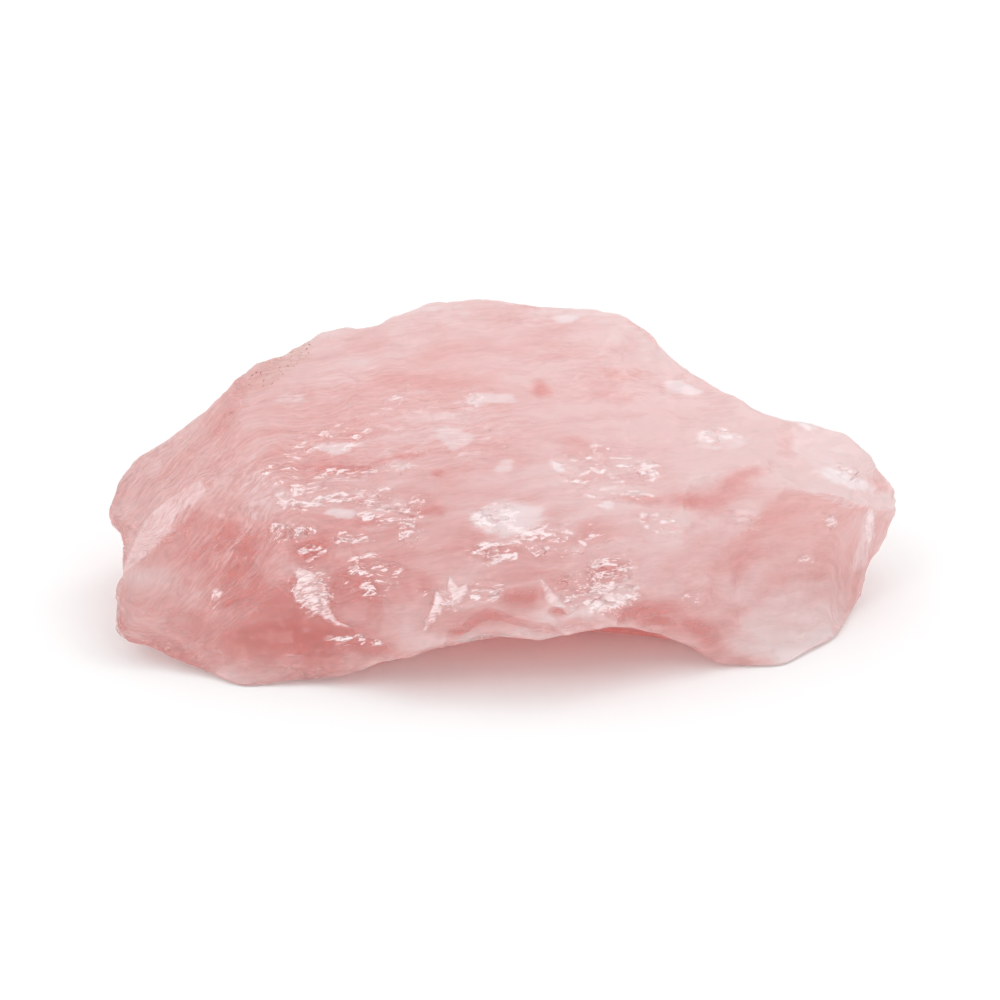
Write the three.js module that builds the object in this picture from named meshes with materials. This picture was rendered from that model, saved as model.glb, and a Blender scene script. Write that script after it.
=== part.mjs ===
// Rose quartz chunk: one rough, natural piece of stone as it broke from the vein. Millimetres, +Z up.
// X runs along its length, left to right as it is seen from the front; Y runs from the front to the back; Z is up.
// The origin is under the middle of the piece, on the surface that it rests on.
//
// The piece lies on a broad flat break. Its upper face is one wide slope that leans towards the front, from a crest
// at the back down to a brow, and the front drops from the brow to a rim. The rim is on the ground at the left and the
// right and is lifted between them, where the underside is hollowed. The left end has a narrow bevel between its upper
// and lower faces, the right end comes to a blunt point, and the back is made of a dozen plain breaks.
import * as THREE from 'three';

const LENGTH = 151.65;  // along X, over the two ends
const DEPTH = 86.87;   // along Y, front rim to the furthest break of the back
const HEIGHT = 52.44;  // along Z, base to crest
const STEPS = 2;         // how many times each face of the cage is divided into four
const COLOUR = 0xe8b4b0; // pale, slightly warm pink
const ROUGHNESS = 0.3;
const METALNESS = 0;

// The cage: corner points of the piece's faces, along its ridges and rims and across its broad faces.
const CAGE = [
  [-73.7,-22.52,9.5], [-71.71,-20.6,11.79], [-71.09,-15.04,12.03], [-72.7,-7.32,12.23], [-74.4,0.62,14.44], [-76.4,6.9,14.85],
  [-75.62,8.85,21.29], [-72.81,13.12,23], [-70.04,16.04,25.05], [-65.11,17.21,27.22], [-61.22,15.61,31.11], [-56.77,18.77,34.67],
  [-52.19,15.95,39.26], [-47.5,18.23,43.14], [-42.32,20.28,44.55], [-35.88,23.34,46.28], [-30.88,24.74,47.32], [-27.73,22.95,46.86],
  [-22.56,23.65,49.04], [-17.02,25.03,52.34], [-14.13,23.5,52.17], [-3.54,24.52,53.12], [8.65,26.6,50.06], [14.68,29.1,49.29],
  [24.04,27.32,48.79], [30.72,24.93,45.1], [33.08,20.83,39.75], [44.48,18.34,35.83], [46.49,14.04,36.06], [53.45,12.79,32.88],
  [55.63,13.87,33.15], [57.91,13.9,33.12], [66.67,14.37,29.12], [68.29,13.2,27.18], [71,11.21,24.44], [72.78,9.1,21.23],
  [76.37,6.09,20.07], [75.75,5.01,18.65], [75.85,2.83,15.29], [72.81,0.49,9.9], [70.56,-3.78,5.38], [67.94,-3.85,0.8],
  [65.21,-10.85,0.88], [62.63,-18.35,0.45], [56.22,-23.35,1.04], [52.33,-29.1,0.13], [45.42,-28.89,0.46], [38.01,-29.59,0.78],
  [36.65,-30.76,4.21], [30.85,-32.09,7.19], [27.14,-33.25,9.36], [21.09,-36.96,12.59], [17.54,-38.45,12.83], [11.73,-40.85,12.93],
  [6.25,-42.34,11.57], [2.17,-41.21,11.96], [-2.46,-40.11,12.21], [-6.95,-41.46,11.66], [-11.69,-40.72,9.8], [-16.69,-39.83,8.01],
  [-19.88,-38.27,4.34], [-22.52,-37.01,3.69], [-32.54,-36.12,1.16], [-38.6,-35.91,1.32], [-45.14,-36.65,0], [-49.01,-36.65,0.33],
  [-53.02,-33.52,0.76], [-57.65,-30.82,1.93], [-61.66,-29.73,2.16], [-64.72,-27.64,4.26], [-69.95,-27.87,4.27], [-72,-24.6,7.04],
  [-50.54,10.84,36.92], [-50.4,6.67,34.4], [-47.94,1.11,33.13], [-47,-2.14,30.94], [-47.63,-7.62,29.09], [-47,-12.4,26.84],
  [-49.05,-17.8,24.11], [-57.38,-10.01,30.1], [-61.78,-8.6,24.41], [-64.28,-9.9,23.45], [-66.57,-9.73,20.94], [-68.12,-10.89,18.48],
  [-71.08,-9.43,13.9], [-57.23,-14.26,26.81], [-59.57,-13.9,23.59], [-65.09,-14.73,19.11], [-69.96,-14.34,13.06], [34.2,-15.01,31.69],
  [41.19,-10.19,30.91], [48.33,-4.63,31.53], [49.87,-8.09,29.07], [55.19,-9.45,27.17], [61.68,-7.88,26], [65,-6.9,23.79],
  [68.77,-4.17,20.89], [72.75,-0.18,18.26], [50.73,3.33,30.84], [33.48,-21.21,26.07], [32.08,-26.19,20.53], [33.22,-30.11,14.73],
  [-39.02,-17.99,24.74], [-30.89,-19.53,26.28], [-23.41,-23.29,27.56], [-4.28,-28.41,26.49], [2.62,-28.22,25.86], [10.56,-27.04,26.54],
  [16.96,-22.61,28.64], [22.39,-17.45,30.2], [28.82,-15.88,30.74], [-49.5,13.88,37.69], [-43.26,13.28,40.36], [-36.06,14.84,42.47],
  [18.35,16.47,45.59], [15.5,10.91,43.39], [-40.18,5.93,36.62], [-40.73,-3.41,31.79], [-40.34,-10.38,28.64], [-33.48,19.85,44.54],
  [-32.13,8.53,39.04], [-31.53,0.73,35.3], [-27.74,-9.07,31.22], [-30.46,-14.84,28.39], [-22.35,17.49,44.31], [-20.79,9.75,41.19],
  [-20.08,1.85,37.29], [-20.1,-5.46,33.89], [-18.1,-14.92,30.1], [-14.52,19.77,48.23], [-11.88,11.3,43.35], [-11.05,5.21,40.05],
  [-10.1,-3.64,35.45], [-8.64,-13.13,31.06], [-10.68,-17.22,27.63], [0.88,21.36,49.28], [-4,17.6,46.74], [5.25,6.3,40.6],
  [2.01,-3.39,36.07], [2.39,-11.8,32.41], [0.27,-19.52,29.41], [8.18,23.29,47.72], [9.23,6.15,40.59], [10.84,-0.44,37.12],
  [9.56,-10.56,32.65], [10.08,-21.59,28.44], [21.91,12.14,41.25], [20.46,1.06,36.8], [17.84,-7.97,33.63], [27.63,18.43,40.52],
  [32.82,8.74,36.65], [29.77,-4.26,33.54], [35.79,8.22,35.56], [36.75,0.61,34.01], [45.04,2.3,32.45], [51.8,-0.87,28.74],
  [64.01,6.62,27.41], [66.44,2.42,24.54], [-36.27,-22.23,20.38], [-29.43,-21.4,24.4], [-20.35,-26.85,21.65], [-13.16,-24.31,24.29],
  [-4.25,-30.49,21.27], [6.09,-30.93,22.24], [10.63,-30.31,22.19], [21.53,-24.86,24.12], [31.96,-22.53,24.35], [-37.72,-27.53,13.08],
  [-27.21,-26.89,17.81], [-18.92,-31.73,14.95], [-12.57,-32.6,16.8], [-4.92,-32.3,19.55], [4.72,-33.18,19.56], [16.67,-31.97,18.86],
  [19.85,-32.78,15.46], [28.01,-29.67,16.14], [-37.97,-31.86,7.11], [-30,-31.09,9.72], [-18.44,-35.95,10.21], [-9.51,-37.36,13.5],
  [-1.18,-37.13,15.27], [6.77,-39.51,13.41], [13.15,-37.6,15.04], [22.89,-33.24,14.49], [31.34,-31.48,8.64], [-32.81,-33.21,5.45],
  [-26.32,-34.77,6.48], [-50.52,-16.83,23.27], [-60.99,-17.42,18.46], [-62.59,-18.35,14.3], [-70.85,-21.52,8.77], [-72.68,-24.92,5.59],
  [-59.43,-22.33,11.63], [-49.14,-22.37,15.59], [-44.61,-19.98,21.09], [-45.05,-24.2,15.21], [-49.6,-26.9,9.59], [-58.61,-26.63,7.56],
  [-44.92,-29.45,8.5], [-54.12,-31.1,3.31], [-54.39,5.86,31.04], [-53.79,-0.81,29.49], [-57.81,3.42,29.14], [-62.54,0.46,26.33],
  [-68.21,3.22,22.94], [-70.44,-2.02,19.27], [-60.67,-2.18,28.04], [-51.81,-7.44,28.85], [39.8,-16.36,23.27], [44.74,-13.71,24.83],
  [54.49,-11.37,20.65], [65.04,-5.87,18.69], [71.14,-0.72,13.87], [40.28,-21.71,17.71], [48.28,-17.91,15.32], [54.83,-13.99,12.36],
  [61.37,-9.4,10.41], [42.41,-26.81,6.22], [49.55,-22.53,6.65], [57.24,-16.23,6.19], [47.37,-27.07,2.47], [55.82,-21.9,2.55],
  [-58.89,25.53,19.81], [-41.7,29.26,30.84], [-26.44,31.45,40.15], [-6.81,37.92,43.21], [6.68,36.48,45.32], [23.75,39.91,40.48],
  [42.55,30.63,30.17], [50.62,23.07,25.17], [65.95,19.19,19.75], [-72.28,15.47,7.12], [-63.94,27.05,13.34], [-49.8,36.09,23.28],
  [-26.59,45.91,24.97], [-9.32,48.04,25.9], [8.11,49.7,28.05], [30.5,46.21,32.72], [41.59,39.38,17.74], [56.94,29.96,13.98],
  [66.39,24.23,9.85], [-69.75,15.36,2.94], [-54.58,31.8,4.48], [-31.03,37.44,6.32], [-19.02,38.26,4.97], [-5.29,39.41,1.4],
  [22.97,41.57,3.73], [38.87,36.26,3.79], [54.91,26.12,1.81], [68.34,11.68,3.52], [-68.16,2.38,5.42], [-64.89,-9.32,2.4],
  [67.6,1.91,5.75], [-58.15,-17.2,0], [-61.37,-9.02,0], [-59.38,5.3,0], [-55.13,17.84,0], [-38.1,25.35,0],
  [-20.47,30.75,0], [-0.02,31.65,0], [20.55,31.65,0], [37.82,27.74,0], [50.15,19.4,0], [61.58,8.68,0],
  [63.52,-0.1,0], [62.35,-8.28,0], [59.08,-14.77,0], [55.31,-22.65,0], [49.67,-26.64,0], [40.01,-26.77,0],
  [36.28,-19.27,0], [30.86,-16.17,0], [20.28,-9.04,0], [8.02,-13.69,0], [-4.37,-14.2,0], [-14.54,-19.51,0],
  [-21.47,-27.77,0], [-31.59,-31.4,0], [-44.18,-35.64,0], [-49.7,-30.04,0], [-57.04,-24.19,0], [-51.25,-14.84,0],
  [-44,4.29,0], [-24.74,-14.55,0], [-19.38,9.68,0], [3.21,8.52,0], [5.1,14.92,0], [21.08,2.14,0],
  [33.47,14.25,0], [49.58,-10.74,0], [45.44,6.4,0], [-5.8,-27.75,8.99], [1.64,-22.84,8.84], [5.86,-25.62,7.92],
  [12.59,-24.85,9.51], [22.72,-21.48,8.41],
];

// Triangles between the cage's points, counter-clockwise from outside.
const FACES = [
  [273,274,285], [273,285,272], [293,274,273], [293,53,54], [208,100,213], [134,161,105], [254,255,282], [81,203,205], [132,139,138], [132,133,139],
  [128,122,123], [128,123,104], [128,104,134], [128,134,133], [218,219,215], [216,215,219], [216,211,215], [252,40,264], [252,240,38], [239,248,247],
  [239,240,248], [181,172,171], [181,54,53], [277,276,62], [291,62,276], [58,178,59], [55,54,181], [55,56,58], [110,89,148], [90,148,89],
  [90,208,92], [90,89,208], [175,100,174], [166,174,100], [164,165,107], [164,174,166], [164,166,165], [164,107,106], [179,178,58], [169,178,179],
  [162,106,105], [162,105,161], [144,109,110], [144,110,148], [275,291,276], [256,282,255], [256,284,282], [5,6,231], [5,231,4], [5,4,205],
  [250,4,231], [250,255,254], [223,224,234], [222,231,6], [286,288,285], [286,285,284], [82,205,83], [82,81,205], [195,167,194], [160,134,104],
  [160,161,134], [160,169,161], [159,169,160], [79,85,207], [118,123,122], [118,102,123], [204,203,202], [204,205,203], [204,5,205], [204,6,5],
  [235,234,224], [235,244,234], [228,28,229], [226,25,227], [151,147,148], [151,90,153], [151,148,90], [143,148,147], [143,138,139], [143,144,148],
  [143,139,144], [287,289,272], [287,272,285], [287,285,288], [42,216,219], [267,270,289], [214,218,215], [214,208,213], [214,209,208], [220,46,45],
  [150,147,151], [230,239,229], [230,240,239], [230,229,33], [230,33,34], [230,36,240], [212,211,216], [261,247,248], [249,240,252], [249,248,240],
  [238,229,239], [238,237,228], [238,228,229], [238,239,247], [173,172,181], [173,164,172], [173,174,164], [271,273,272], [271,270,273], [271,272,289],
  [271,289,270], [294,293,273], [294,273,270], [278,279,277], [278,65,279], [177,59,178], [177,60,59], [84,83,205], [251,0,2], [251,250,254],
  [93,92,208], [93,208,209], [93,209,94], [99,208,89], [99,89,110], [99,110,109], [99,165,166], [99,100,208], [99,166,100], [91,153,90],
  [91,90,92], [101,213,100], [101,100,175], [51,53,293], [180,181,171], [180,56,55], [180,55,181], [57,58,56], [57,179,58], [57,56,180],
  [57,180,179], [170,161,169], [170,162,161], [170,171,162], [170,169,179], [170,180,171], [170,179,180], [163,164,106], [163,106,162], [163,172,164],
  [163,171,172], [163,162,171], [140,134,105], [140,133,134], [140,105,106], [140,139,133], [140,144,139], [283,254,282], [283,274,275], [283,282,284],
  [283,285,274], [283,284,285], [292,291,275], [292,274,293], [292,275,274], [292,58,59], [292,59,60], [292,60,291], [292,55,58], [292,293,54],
  [292,54,55], [233,223,234], [233,222,223], [233,244,243], [233,234,244], [10,11,223], [10,223,222], [258,243,244], [258,286,284], [168,159,167],
  [168,169,159], [168,178,169], [168,177,178], [158,194,167], [158,167,159], [103,104,123], [103,123,102], [103,160,104], [103,159,160], [103,158,159],
  [103,102,158], [127,133,132], [127,128,133], [127,122,128], [131,132,138], [80,85,79], [80,203,81], [77,102,118], [77,207,85], [77,118,76],
  [121,122,127], [76,118,122], [77,76,207], [76,79,207], [225,235,224], [225,226,235], [142,143,147], [142,138,143], [265,289,264], [41,40,216],
  [41,216,42], [41,42,265], [41,264,40], [41,265,264], [221,219,218], [221,220,45], [221,218,220], [266,267,289], [266,289,265], [266,265,42],
  [210,215,211], [210,214,215], [210,209,214], [210,211,96], [210,94,209], [152,151,153], [152,150,151], [146,147,150], [146,142,147], [146,115,142],
  [98,153,91], [98,91,92], [37,38,240], [37,240,36], [37,36,157], [35,230,34], [35,36,230], [35,34,157], [35,157,36], [39,40,252],
  [39,216,40], [39,212,216], [39,252,38], [39,38,212], [260,288,286], [260,261,288], [260,247,261], [262,248,249], [262,288,261], [262,261,248],
  [182,181,53], [182,173,181], [182,174,173], [268,270,267], [268,269,270], [268,45,46], [268,46,269], [295,270,269], [295,294,270], [61,62,291],
  [61,291,60], [185,198,65], [78,77,85], [78,102,77], [78,194,158], [78,158,102], [3,250,251], [3,4,250], [3,2,84], [3,251,2],
  [3,205,4], [3,84,205], [95,96,157], [95,210,96], [95,94,210], [217,213,101], [217,214,213], [217,218,214], [217,220,218], [183,175,174],
  [183,174,182], [108,107,165], [108,99,109], [108,165,99], [145,109,144], [145,144,140], [145,108,109], [145,107,108], [145,106,107], [145,140,106],
  [281,254,283], [281,279,280], [281,277,279], [281,276,277], [281,275,276], [281,283,275], [241,242,256], [241,256,255], [241,255,250], [241,250,231],
  [232,231,222], [232,241,231], [232,242,241], [232,222,233], [232,243,242], [232,233,243], [200,11,10], [8,204,202], [236,244,235], [236,245,244],
  [236,237,245], [236,228,237], [236,227,228], [236,226,227], [236,235,226], [259,244,245], [259,258,244], [259,286,258], [259,260,286], [257,256,242],
  [257,284,256], [257,258,284], [257,242,243], [257,243,258], [71,251,70], [71,70,191], [71,0,251], [196,198,195], [12,11,72], [12,223,11],
  [12,13,223], [14,224,223], [14,223,13], [206,76,75], [206,202,203], [206,79,76], [206,203,80], [206,80,79], [24,25,226], [24,226,23],
  [44,221,45], [43,44,267], [44,45,268], [44,268,267], [43,221,44], [43,267,266], [43,219,221], [43,42,219], [43,266,42], [26,227,25],
  [26,228,227], [31,229,28], [154,152,153], [154,153,98], [156,157,34], [156,34,33], [156,95,157], [156,94,95], [156,98,92], [156,92,93],
  [156,93,94], [97,157,96], [97,37,157], [97,96,211], [97,211,212], [97,212,38], [97,38,37], [246,247,260], [246,238,247], [246,259,245],
  [246,260,259], [246,237,238], [246,245,237], [290,264,289], [290,289,287], [290,287,288], [290,288,262], [47,269,46], [47,295,269], [63,62,185],
  [63,277,62], [63,278,277], [186,62,61], [186,185,62], [186,177,185], [186,60,177], [186,61,60], [176,185,177], [176,198,185], [176,177,168],
  [176,168,167], [176,167,195], [176,195,198], [1,2,0], [1,189,2], [193,195,194], [193,194,188], [193,188,189], [88,84,2], [88,2,189],
  [88,189,188], [88,83,84], [86,81,82], [86,78,85], [86,85,80], [86,80,81], [52,51,183], [52,183,182], [52,53,51], [52,182,53],
  [253,251,254], [253,254,281], [253,281,280], [253,70,251], [253,280,70], [9,10,222], [9,222,8], [9,8,202], [9,202,200], [9,200,10],
  [7,6,204], [7,204,8], [7,222,6], [7,8,222], [197,191,70], [197,196,191], [111,12,72], [111,13,12], [111,112,13], [15,16,224],
  [15,224,14], [20,21,225], [126,131,125], [126,132,131], [126,120,121], [126,125,120], [126,127,132], [126,121,127], [130,125,131], [124,125,130],
  [116,111,72], [116,112,111], [116,121,120], [116,120,112], [117,122,121], [117,74,75], [117,121,116], [117,116,74], [117,76,122], [117,75,76],
  [201,202,206], [201,206,75], [201,75,74], [201,200,202], [201,74,200], [114,115,146], [114,24,23], [114,25,24], [114,141,115], [114,23,141],
  [22,141,23], [22,225,21], [22,23,226], [22,226,225], [149,150,152], [149,26,25], [149,146,150], [149,25,114], [149,114,146], [29,154,98],
  [29,28,152], [29,152,154], [155,98,156], [155,156,33], [263,262,249], [263,290,262], [263,264,290], [263,252,264], [263,249,252], [64,65,278],
  [64,278,63], [64,185,65], [64,63,185], [192,71,191], [192,195,193], [192,196,195], [192,191,196], [87,83,88], [87,88,188], [87,82,83],
  [87,86,82], [187,188,194], [187,194,78], [187,78,86], [187,87,188], [187,86,87], [48,294,295], [48,49,294], [48,295,47], [101,48,217],
  [48,220,217], [48,46,220], [48,47,46], [50,294,49], [50,293,294], [50,51,293], [50,183,51], [69,70,280], [69,197,70], [119,120,125],
  [15,14,113], [119,125,124], [119,16,15], [119,124,16], [137,130,131], [137,131,138], [137,138,142], [73,116,72], [73,74,116], [73,200,74],
  [73,72,11], [73,11,200], [27,149,152], [27,26,149], [27,152,28], [27,28,228], [27,228,26], [30,155,31], [30,31,28], [30,28,29],
  [30,29,98], [30,98,155], [32,155,33], [32,31,155], [32,33,229], [32,229,31], [190,0,71], [190,71,192], [190,1,0], [190,189,1],
  [190,193,189], [190,192,193], [184,183,50], [184,101,175], [184,175,183], [184,50,49], [101,184,49], [101,49,48], [66,279,65], [66,65,198],
  [67,279,66], [67,280,279], [68,196,197], [68,197,69], [68,69,280], [68,280,67], [113,120,119], [15,113,119], [113,112,120], [113,13,112],
  [113,14,13], [136,142,115], [136,137,142], [136,115,141], [136,130,137], [17,16,124], [17,124,18], [17,18,225], [17,224,16], [17,225,224],
  [19,18,124], [19,130,129], [19,124,130], [19,129,20], [19,20,225], [19,225,18], [199,198,196], [199,196,68], [199,68,67], [199,66,198],
  [199,67,66], [135,136,141], [135,22,21], [135,141,22], [135,21,20], [135,20,129], [135,129,130], [135,130,136],
];

// Ridges and rims: the two points of each edge that stays sharp, and for how many steps it does.
const RIDGES = [
  [253,254,9], [254,255,9], [255,256,9], [256,257,9], [257,258,9], [258,259,9], [259,260,9], [260,261,9], [261,262,9],
  [262,263,9], [263,264,9], [264,265,9], [265,266,9], [266,267,9], [267,268,9], [268,269,9], [269,270,9], [270,271,9],
  [271,272,9], [272,273,9], [273,274,9], [274,275,9], [275,276,9], [276,277,9], [277,278,9], [278,279,9], [279,280,9],
  [253,280,9], [45,46,3.2], [46,47,3.2], [47,48,3.2], [48,49,3.2], [49,50,3.2], [50,51,3.2], [51,52,3.2], [52,53,3.2],
  [53,54,3.2], [54,55,3.2], [55,56,3.2], [56,57,3.2], [57,58,3.2], [58,59,3.2], [59,60,3.2], [60,61,3.2], [61,62,3.2],
  [62,63,3.2], [63,64,3.2], [64,65,3.2], [65,66,3.2], [66,67,3.2], [67,68,3.2], [68,69,3.2], [69,70,3.2], [70,71,3.2],
  [0,71,2], [0,1,2.4], [1,2,2.4], [2,3,2.4], [3,4,1.4], [4,5,1.4], [5,6,1.4], [6,7,1.4], [7,8,1.4],
  [8,9,1.4], [9,10,1.4], [10,11,1.4], [11,12,1.4], [12,13,1.7], [13,14,1.7], [14,15,1.7], [15,16,1.7], [16,17,1.7],
  [17,18,1.7], [18,19,1.7], [19,20,1.7], [20,21,1.7], [21,22,1.7], [22,23,1.7], [23,24,1.7], [24,25,1.7], [25,26,1.7],
  [26,27,1.7], [27,28,1.7], [28,29,1.7], [29,30,1.8], [30,31,2.4], [31,32,2.4], [32,33,2.4], [33,34,2.4], [34,35,2.4],
  [35,36,2.4], [36,37,2.4], [37,38,2.6], [38,39,2.6], [39,40,2.6], [40,41,2.6], [41,42,2.6], [42,43,2.6], [43,44,2.6],
  [44,45,2.6], [12,72,4], [72,73,4], [73,74,4], [74,75,4], [75,76,4], [76,77,4], [77,78,4], [79,80,3.4],
  [80,81,3.4], [81,82,3.4], [82,83,3.4], [83,84,3.4], [2,84,3.4], [85,86,3], [86,87,3], [87,88,3], [2,88,3],
  [89,90,4], [90,91,4], [91,92,4], [92,93,4], [93,94,4], [94,95,4], [95,96,4], [96,97,4], [37,97,4],
  [29,98,3.2], [92,98,3.2], [89,99,3.2], [99,100,3.2], [100,101,3.2], [48,101,1.2], [78,102,3], [102,103,3], [103,104,3],
  [12,111,3], [111,112,3], [112,113,3], [15,113,3], [24,114,3], [114,115,3], [104,134,2.6], [105,134,2.6], [105,106,2.6],
  [106,107,2.6], [107,108,2.6], [108,109,2.6], [109,110,2.6], [89,110,2.6],
];

// Plain breaks of the back and the ends: outward direction, and distance of the plane from the cage's origin.
const BREAKS = [
  [-0.4574, 0.7954, 0.3977, 53.64],
  [0.4991, 0.7885, 0.3593, 54.56],
  [0.0400, 0.9396, 0.3399, 49.82],
  [0.0601, 0.6211, 0.7814, 56.92],
  [-0.1000, 0.9604, -0.2601, 37.41],
  [0.4187, 0.8574, -0.2991, 43.42],
  [-0.6210, 0.7011, -0.3505, 49.82],
  [-0.8638, 0.4620, 0.2009, 73.18],
  [0.8055, 0.5840, 0.1007, 66.94],
  [0.3004, 0.6007, 0.7409, 59.31],
  [-0.4500, 0.5000, 0.7400, 61.95],
];

// One step of Loop's subdivision, with edges that stay sharp for a given number of steps.
function divide( points, faces, ridges ) {

	const count = points.length;
	const edges = [];
	const at = new Map();
	const edgeOf = ( a, b ) => {

		const key = a < b ? a * 1000003 + b : b * 1000003 + a;
		if ( ! at.has( key ) ) {

			at.set( key, edges.length );
			edges.push( { a: Math.min( a, b ), b: Math.max( a, b ), across: [], sharp: 0 } );

		}

		return at.get( key );

	};

	const sides = faces.map( ( [ a, b, c ] ) => {

		const ids = [ edgeOf( a, b ), edgeOf( b, c ), edgeOf( c, a ) ];
		edges[ ids[ 0 ] ].across.push( c );
		edges[ ids[ 1 ] ].across.push( a );
		edges[ ids[ 2 ] ].across.push( b );
		return ids;

	} );
	for ( const [ a, b, sharp ] of ridges ) edges[ edgeOf( a, b ) ].sharp = sharp;

	const around = points.map( () => [] );
	const ridged = points.map( () => [] );
	for ( const edge of edges ) {

		around[ edge.a ].push( edge.b );
		around[ edge.b ].push( edge.a );
		if ( edge.sharp > 0 ) {

			ridged[ edge.a ].push( [ edge.b, Math.min( edge.sharp, 1 ) ] );
			ridged[ edge.b ].push( [ edge.a, Math.min( edge.sharp, 1 ) ] );

		}

	}

	const next = [];
	for ( let i = 0; i < count; i ++ ) {

		const n = around[ i ].length;
		const beta = ( 5 / 8 - ( 3 / 8 + Math.cos( 2 * Math.PI / n ) / 4 ) ** 2 ) / n;
		const smooth = points[ i ].clone().multiplyScalar( 1 - n * beta );
		for ( const j of around[ i ] ) smooth.addScaledVector( points[ j ], beta );
		if ( ridged[ i ].length >= 2 ) {

			const w = ridged[ i ].reduce( ( sum, r ) => sum + r[ 1 ], 0 ) / ridged[ i ].length;
			const hard = points[ i ].clone();
			if ( ridged[ i ].length === 2 ) {

				hard.multiplyScalar( 0.75 );
				for ( const [ j ] of ridged[ i ] ) hard.addScaledVector( points[ j ], 0.125 );

			}

			smooth.lerp( hard, w );

		}

		next.push( smooth );

	}

	for ( const edge of edges ) {

		const w = Math.min( edge.sharp, 1 );
		const a = ( 1 - w ) * 3 / 8 + w / 2;
		const point = new THREE.Vector3().addScaledVector( points[ edge.a ], a ).addScaledVector( points[ edge.b ], a );
		for ( const j of edge.across ) point.addScaledVector( points[ j ], ( 1 - w ) / 8 );
		next.push( point );

	}

	const nextFaces = [];
	faces.forEach( ( [ a, b, c ], f ) => {

		const [ ab, bc, ca ] = sides[ f ].map( ( id ) => count + id );
		nextFaces.push( [ a, ab, ca ], [ b, bc, ab ], [ c, ca, bc ], [ ab, bc, ca ] );

	} );

	const nextRidges = [];
	edges.forEach( ( edge, id ) => {

		if ( edge.sharp > 1 ) nextRidges.push( [ edge.a, count + id, edge.sharp - 1 ], [ edge.b, count + id, edge.sharp - 1 ] );

	} );
	return [ next, nextFaces, nextRidges ];

}

function chunkGeometry() {

	let points = CAGE.map( ( p ) => new THREE.Vector3( ...p ) );
	let faces = FACES;
	let ridges = RIDGES;
	for ( let i = 0; i < STEPS; i ++ ) [ points, faces, ridges ] = divide( points, faces, ridges );

	// the back and the ends broke along planes: what stands out past one is laid back on it
	for ( const [ x, y, z, d ] of BREAKS ) {

		const out = new THREE.Vector3( x, y, z );
		for ( const p of points ) {

			const over = p.dot( out ) - d;
			if ( over > 0 ) p.addScaledVector( out, - over );

		}

	}

	// to the stated size, standing on z = 0 over the origin
	const box = new THREE.Box3().setFromPoints( points );
	const size = box.getSize( new THREE.Vector3() );
	const middle = box.getCenter( new THREE.Vector3() );
	for ( const p of points ) p.set(
		( p.x - middle.x ) * LENGTH / size.x,
		( p.y - middle.y ) * DEPTH / size.y,
		( p.z - box.min.z ) * HEIGHT / size.z,
	);

	const geometry = new THREE.BufferGeometry();
	geometry.setAttribute( 'position', new THREE.Float32BufferAttribute( points.flatMap( ( p ) => [ p.x, p.y, p.z ] ), 3 ) );
	geometry.setIndex( faces.flat() );
	geometry.computeVertexNormals();
	return geometry;

}

const chunk = new THREE.Mesh(
	chunkGeometry(),
	new THREE.MeshStandardMaterial( { color: COLOUR, roughness: ROUGHNESS, metalness: METALNESS, flatShading: true } ),
);
chunk.name = 'rose_quartz_chunk';

const part = new THREE.Group();
part.name = 'rose_quartz';
part.add( chunk );

export default part;
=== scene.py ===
import math

import bpy
import numpy as np
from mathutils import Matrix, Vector


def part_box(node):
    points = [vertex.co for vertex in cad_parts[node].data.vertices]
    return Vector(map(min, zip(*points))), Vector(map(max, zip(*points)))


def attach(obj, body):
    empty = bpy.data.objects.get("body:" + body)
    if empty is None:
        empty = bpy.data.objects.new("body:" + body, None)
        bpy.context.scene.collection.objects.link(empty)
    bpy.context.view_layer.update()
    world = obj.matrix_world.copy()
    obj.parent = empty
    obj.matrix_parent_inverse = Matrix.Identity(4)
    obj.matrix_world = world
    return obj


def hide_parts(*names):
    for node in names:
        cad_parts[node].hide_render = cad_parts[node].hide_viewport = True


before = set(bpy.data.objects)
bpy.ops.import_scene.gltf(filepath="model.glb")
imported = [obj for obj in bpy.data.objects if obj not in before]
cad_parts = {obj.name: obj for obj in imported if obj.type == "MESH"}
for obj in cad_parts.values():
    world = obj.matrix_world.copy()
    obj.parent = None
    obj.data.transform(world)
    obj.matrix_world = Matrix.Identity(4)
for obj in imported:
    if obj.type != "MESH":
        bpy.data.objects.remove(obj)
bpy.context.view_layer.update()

# ---------------------------------------------------------------------------------------------------------------
# The form: the same cage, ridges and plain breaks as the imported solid, in millimetres
# ---------------------------------------------------------------------------------------------------------------
CENTRE_X, CENTRE_Y = 0.1716, 1.5047  # the cage's own origin, from the middle of the piece's footprint

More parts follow.
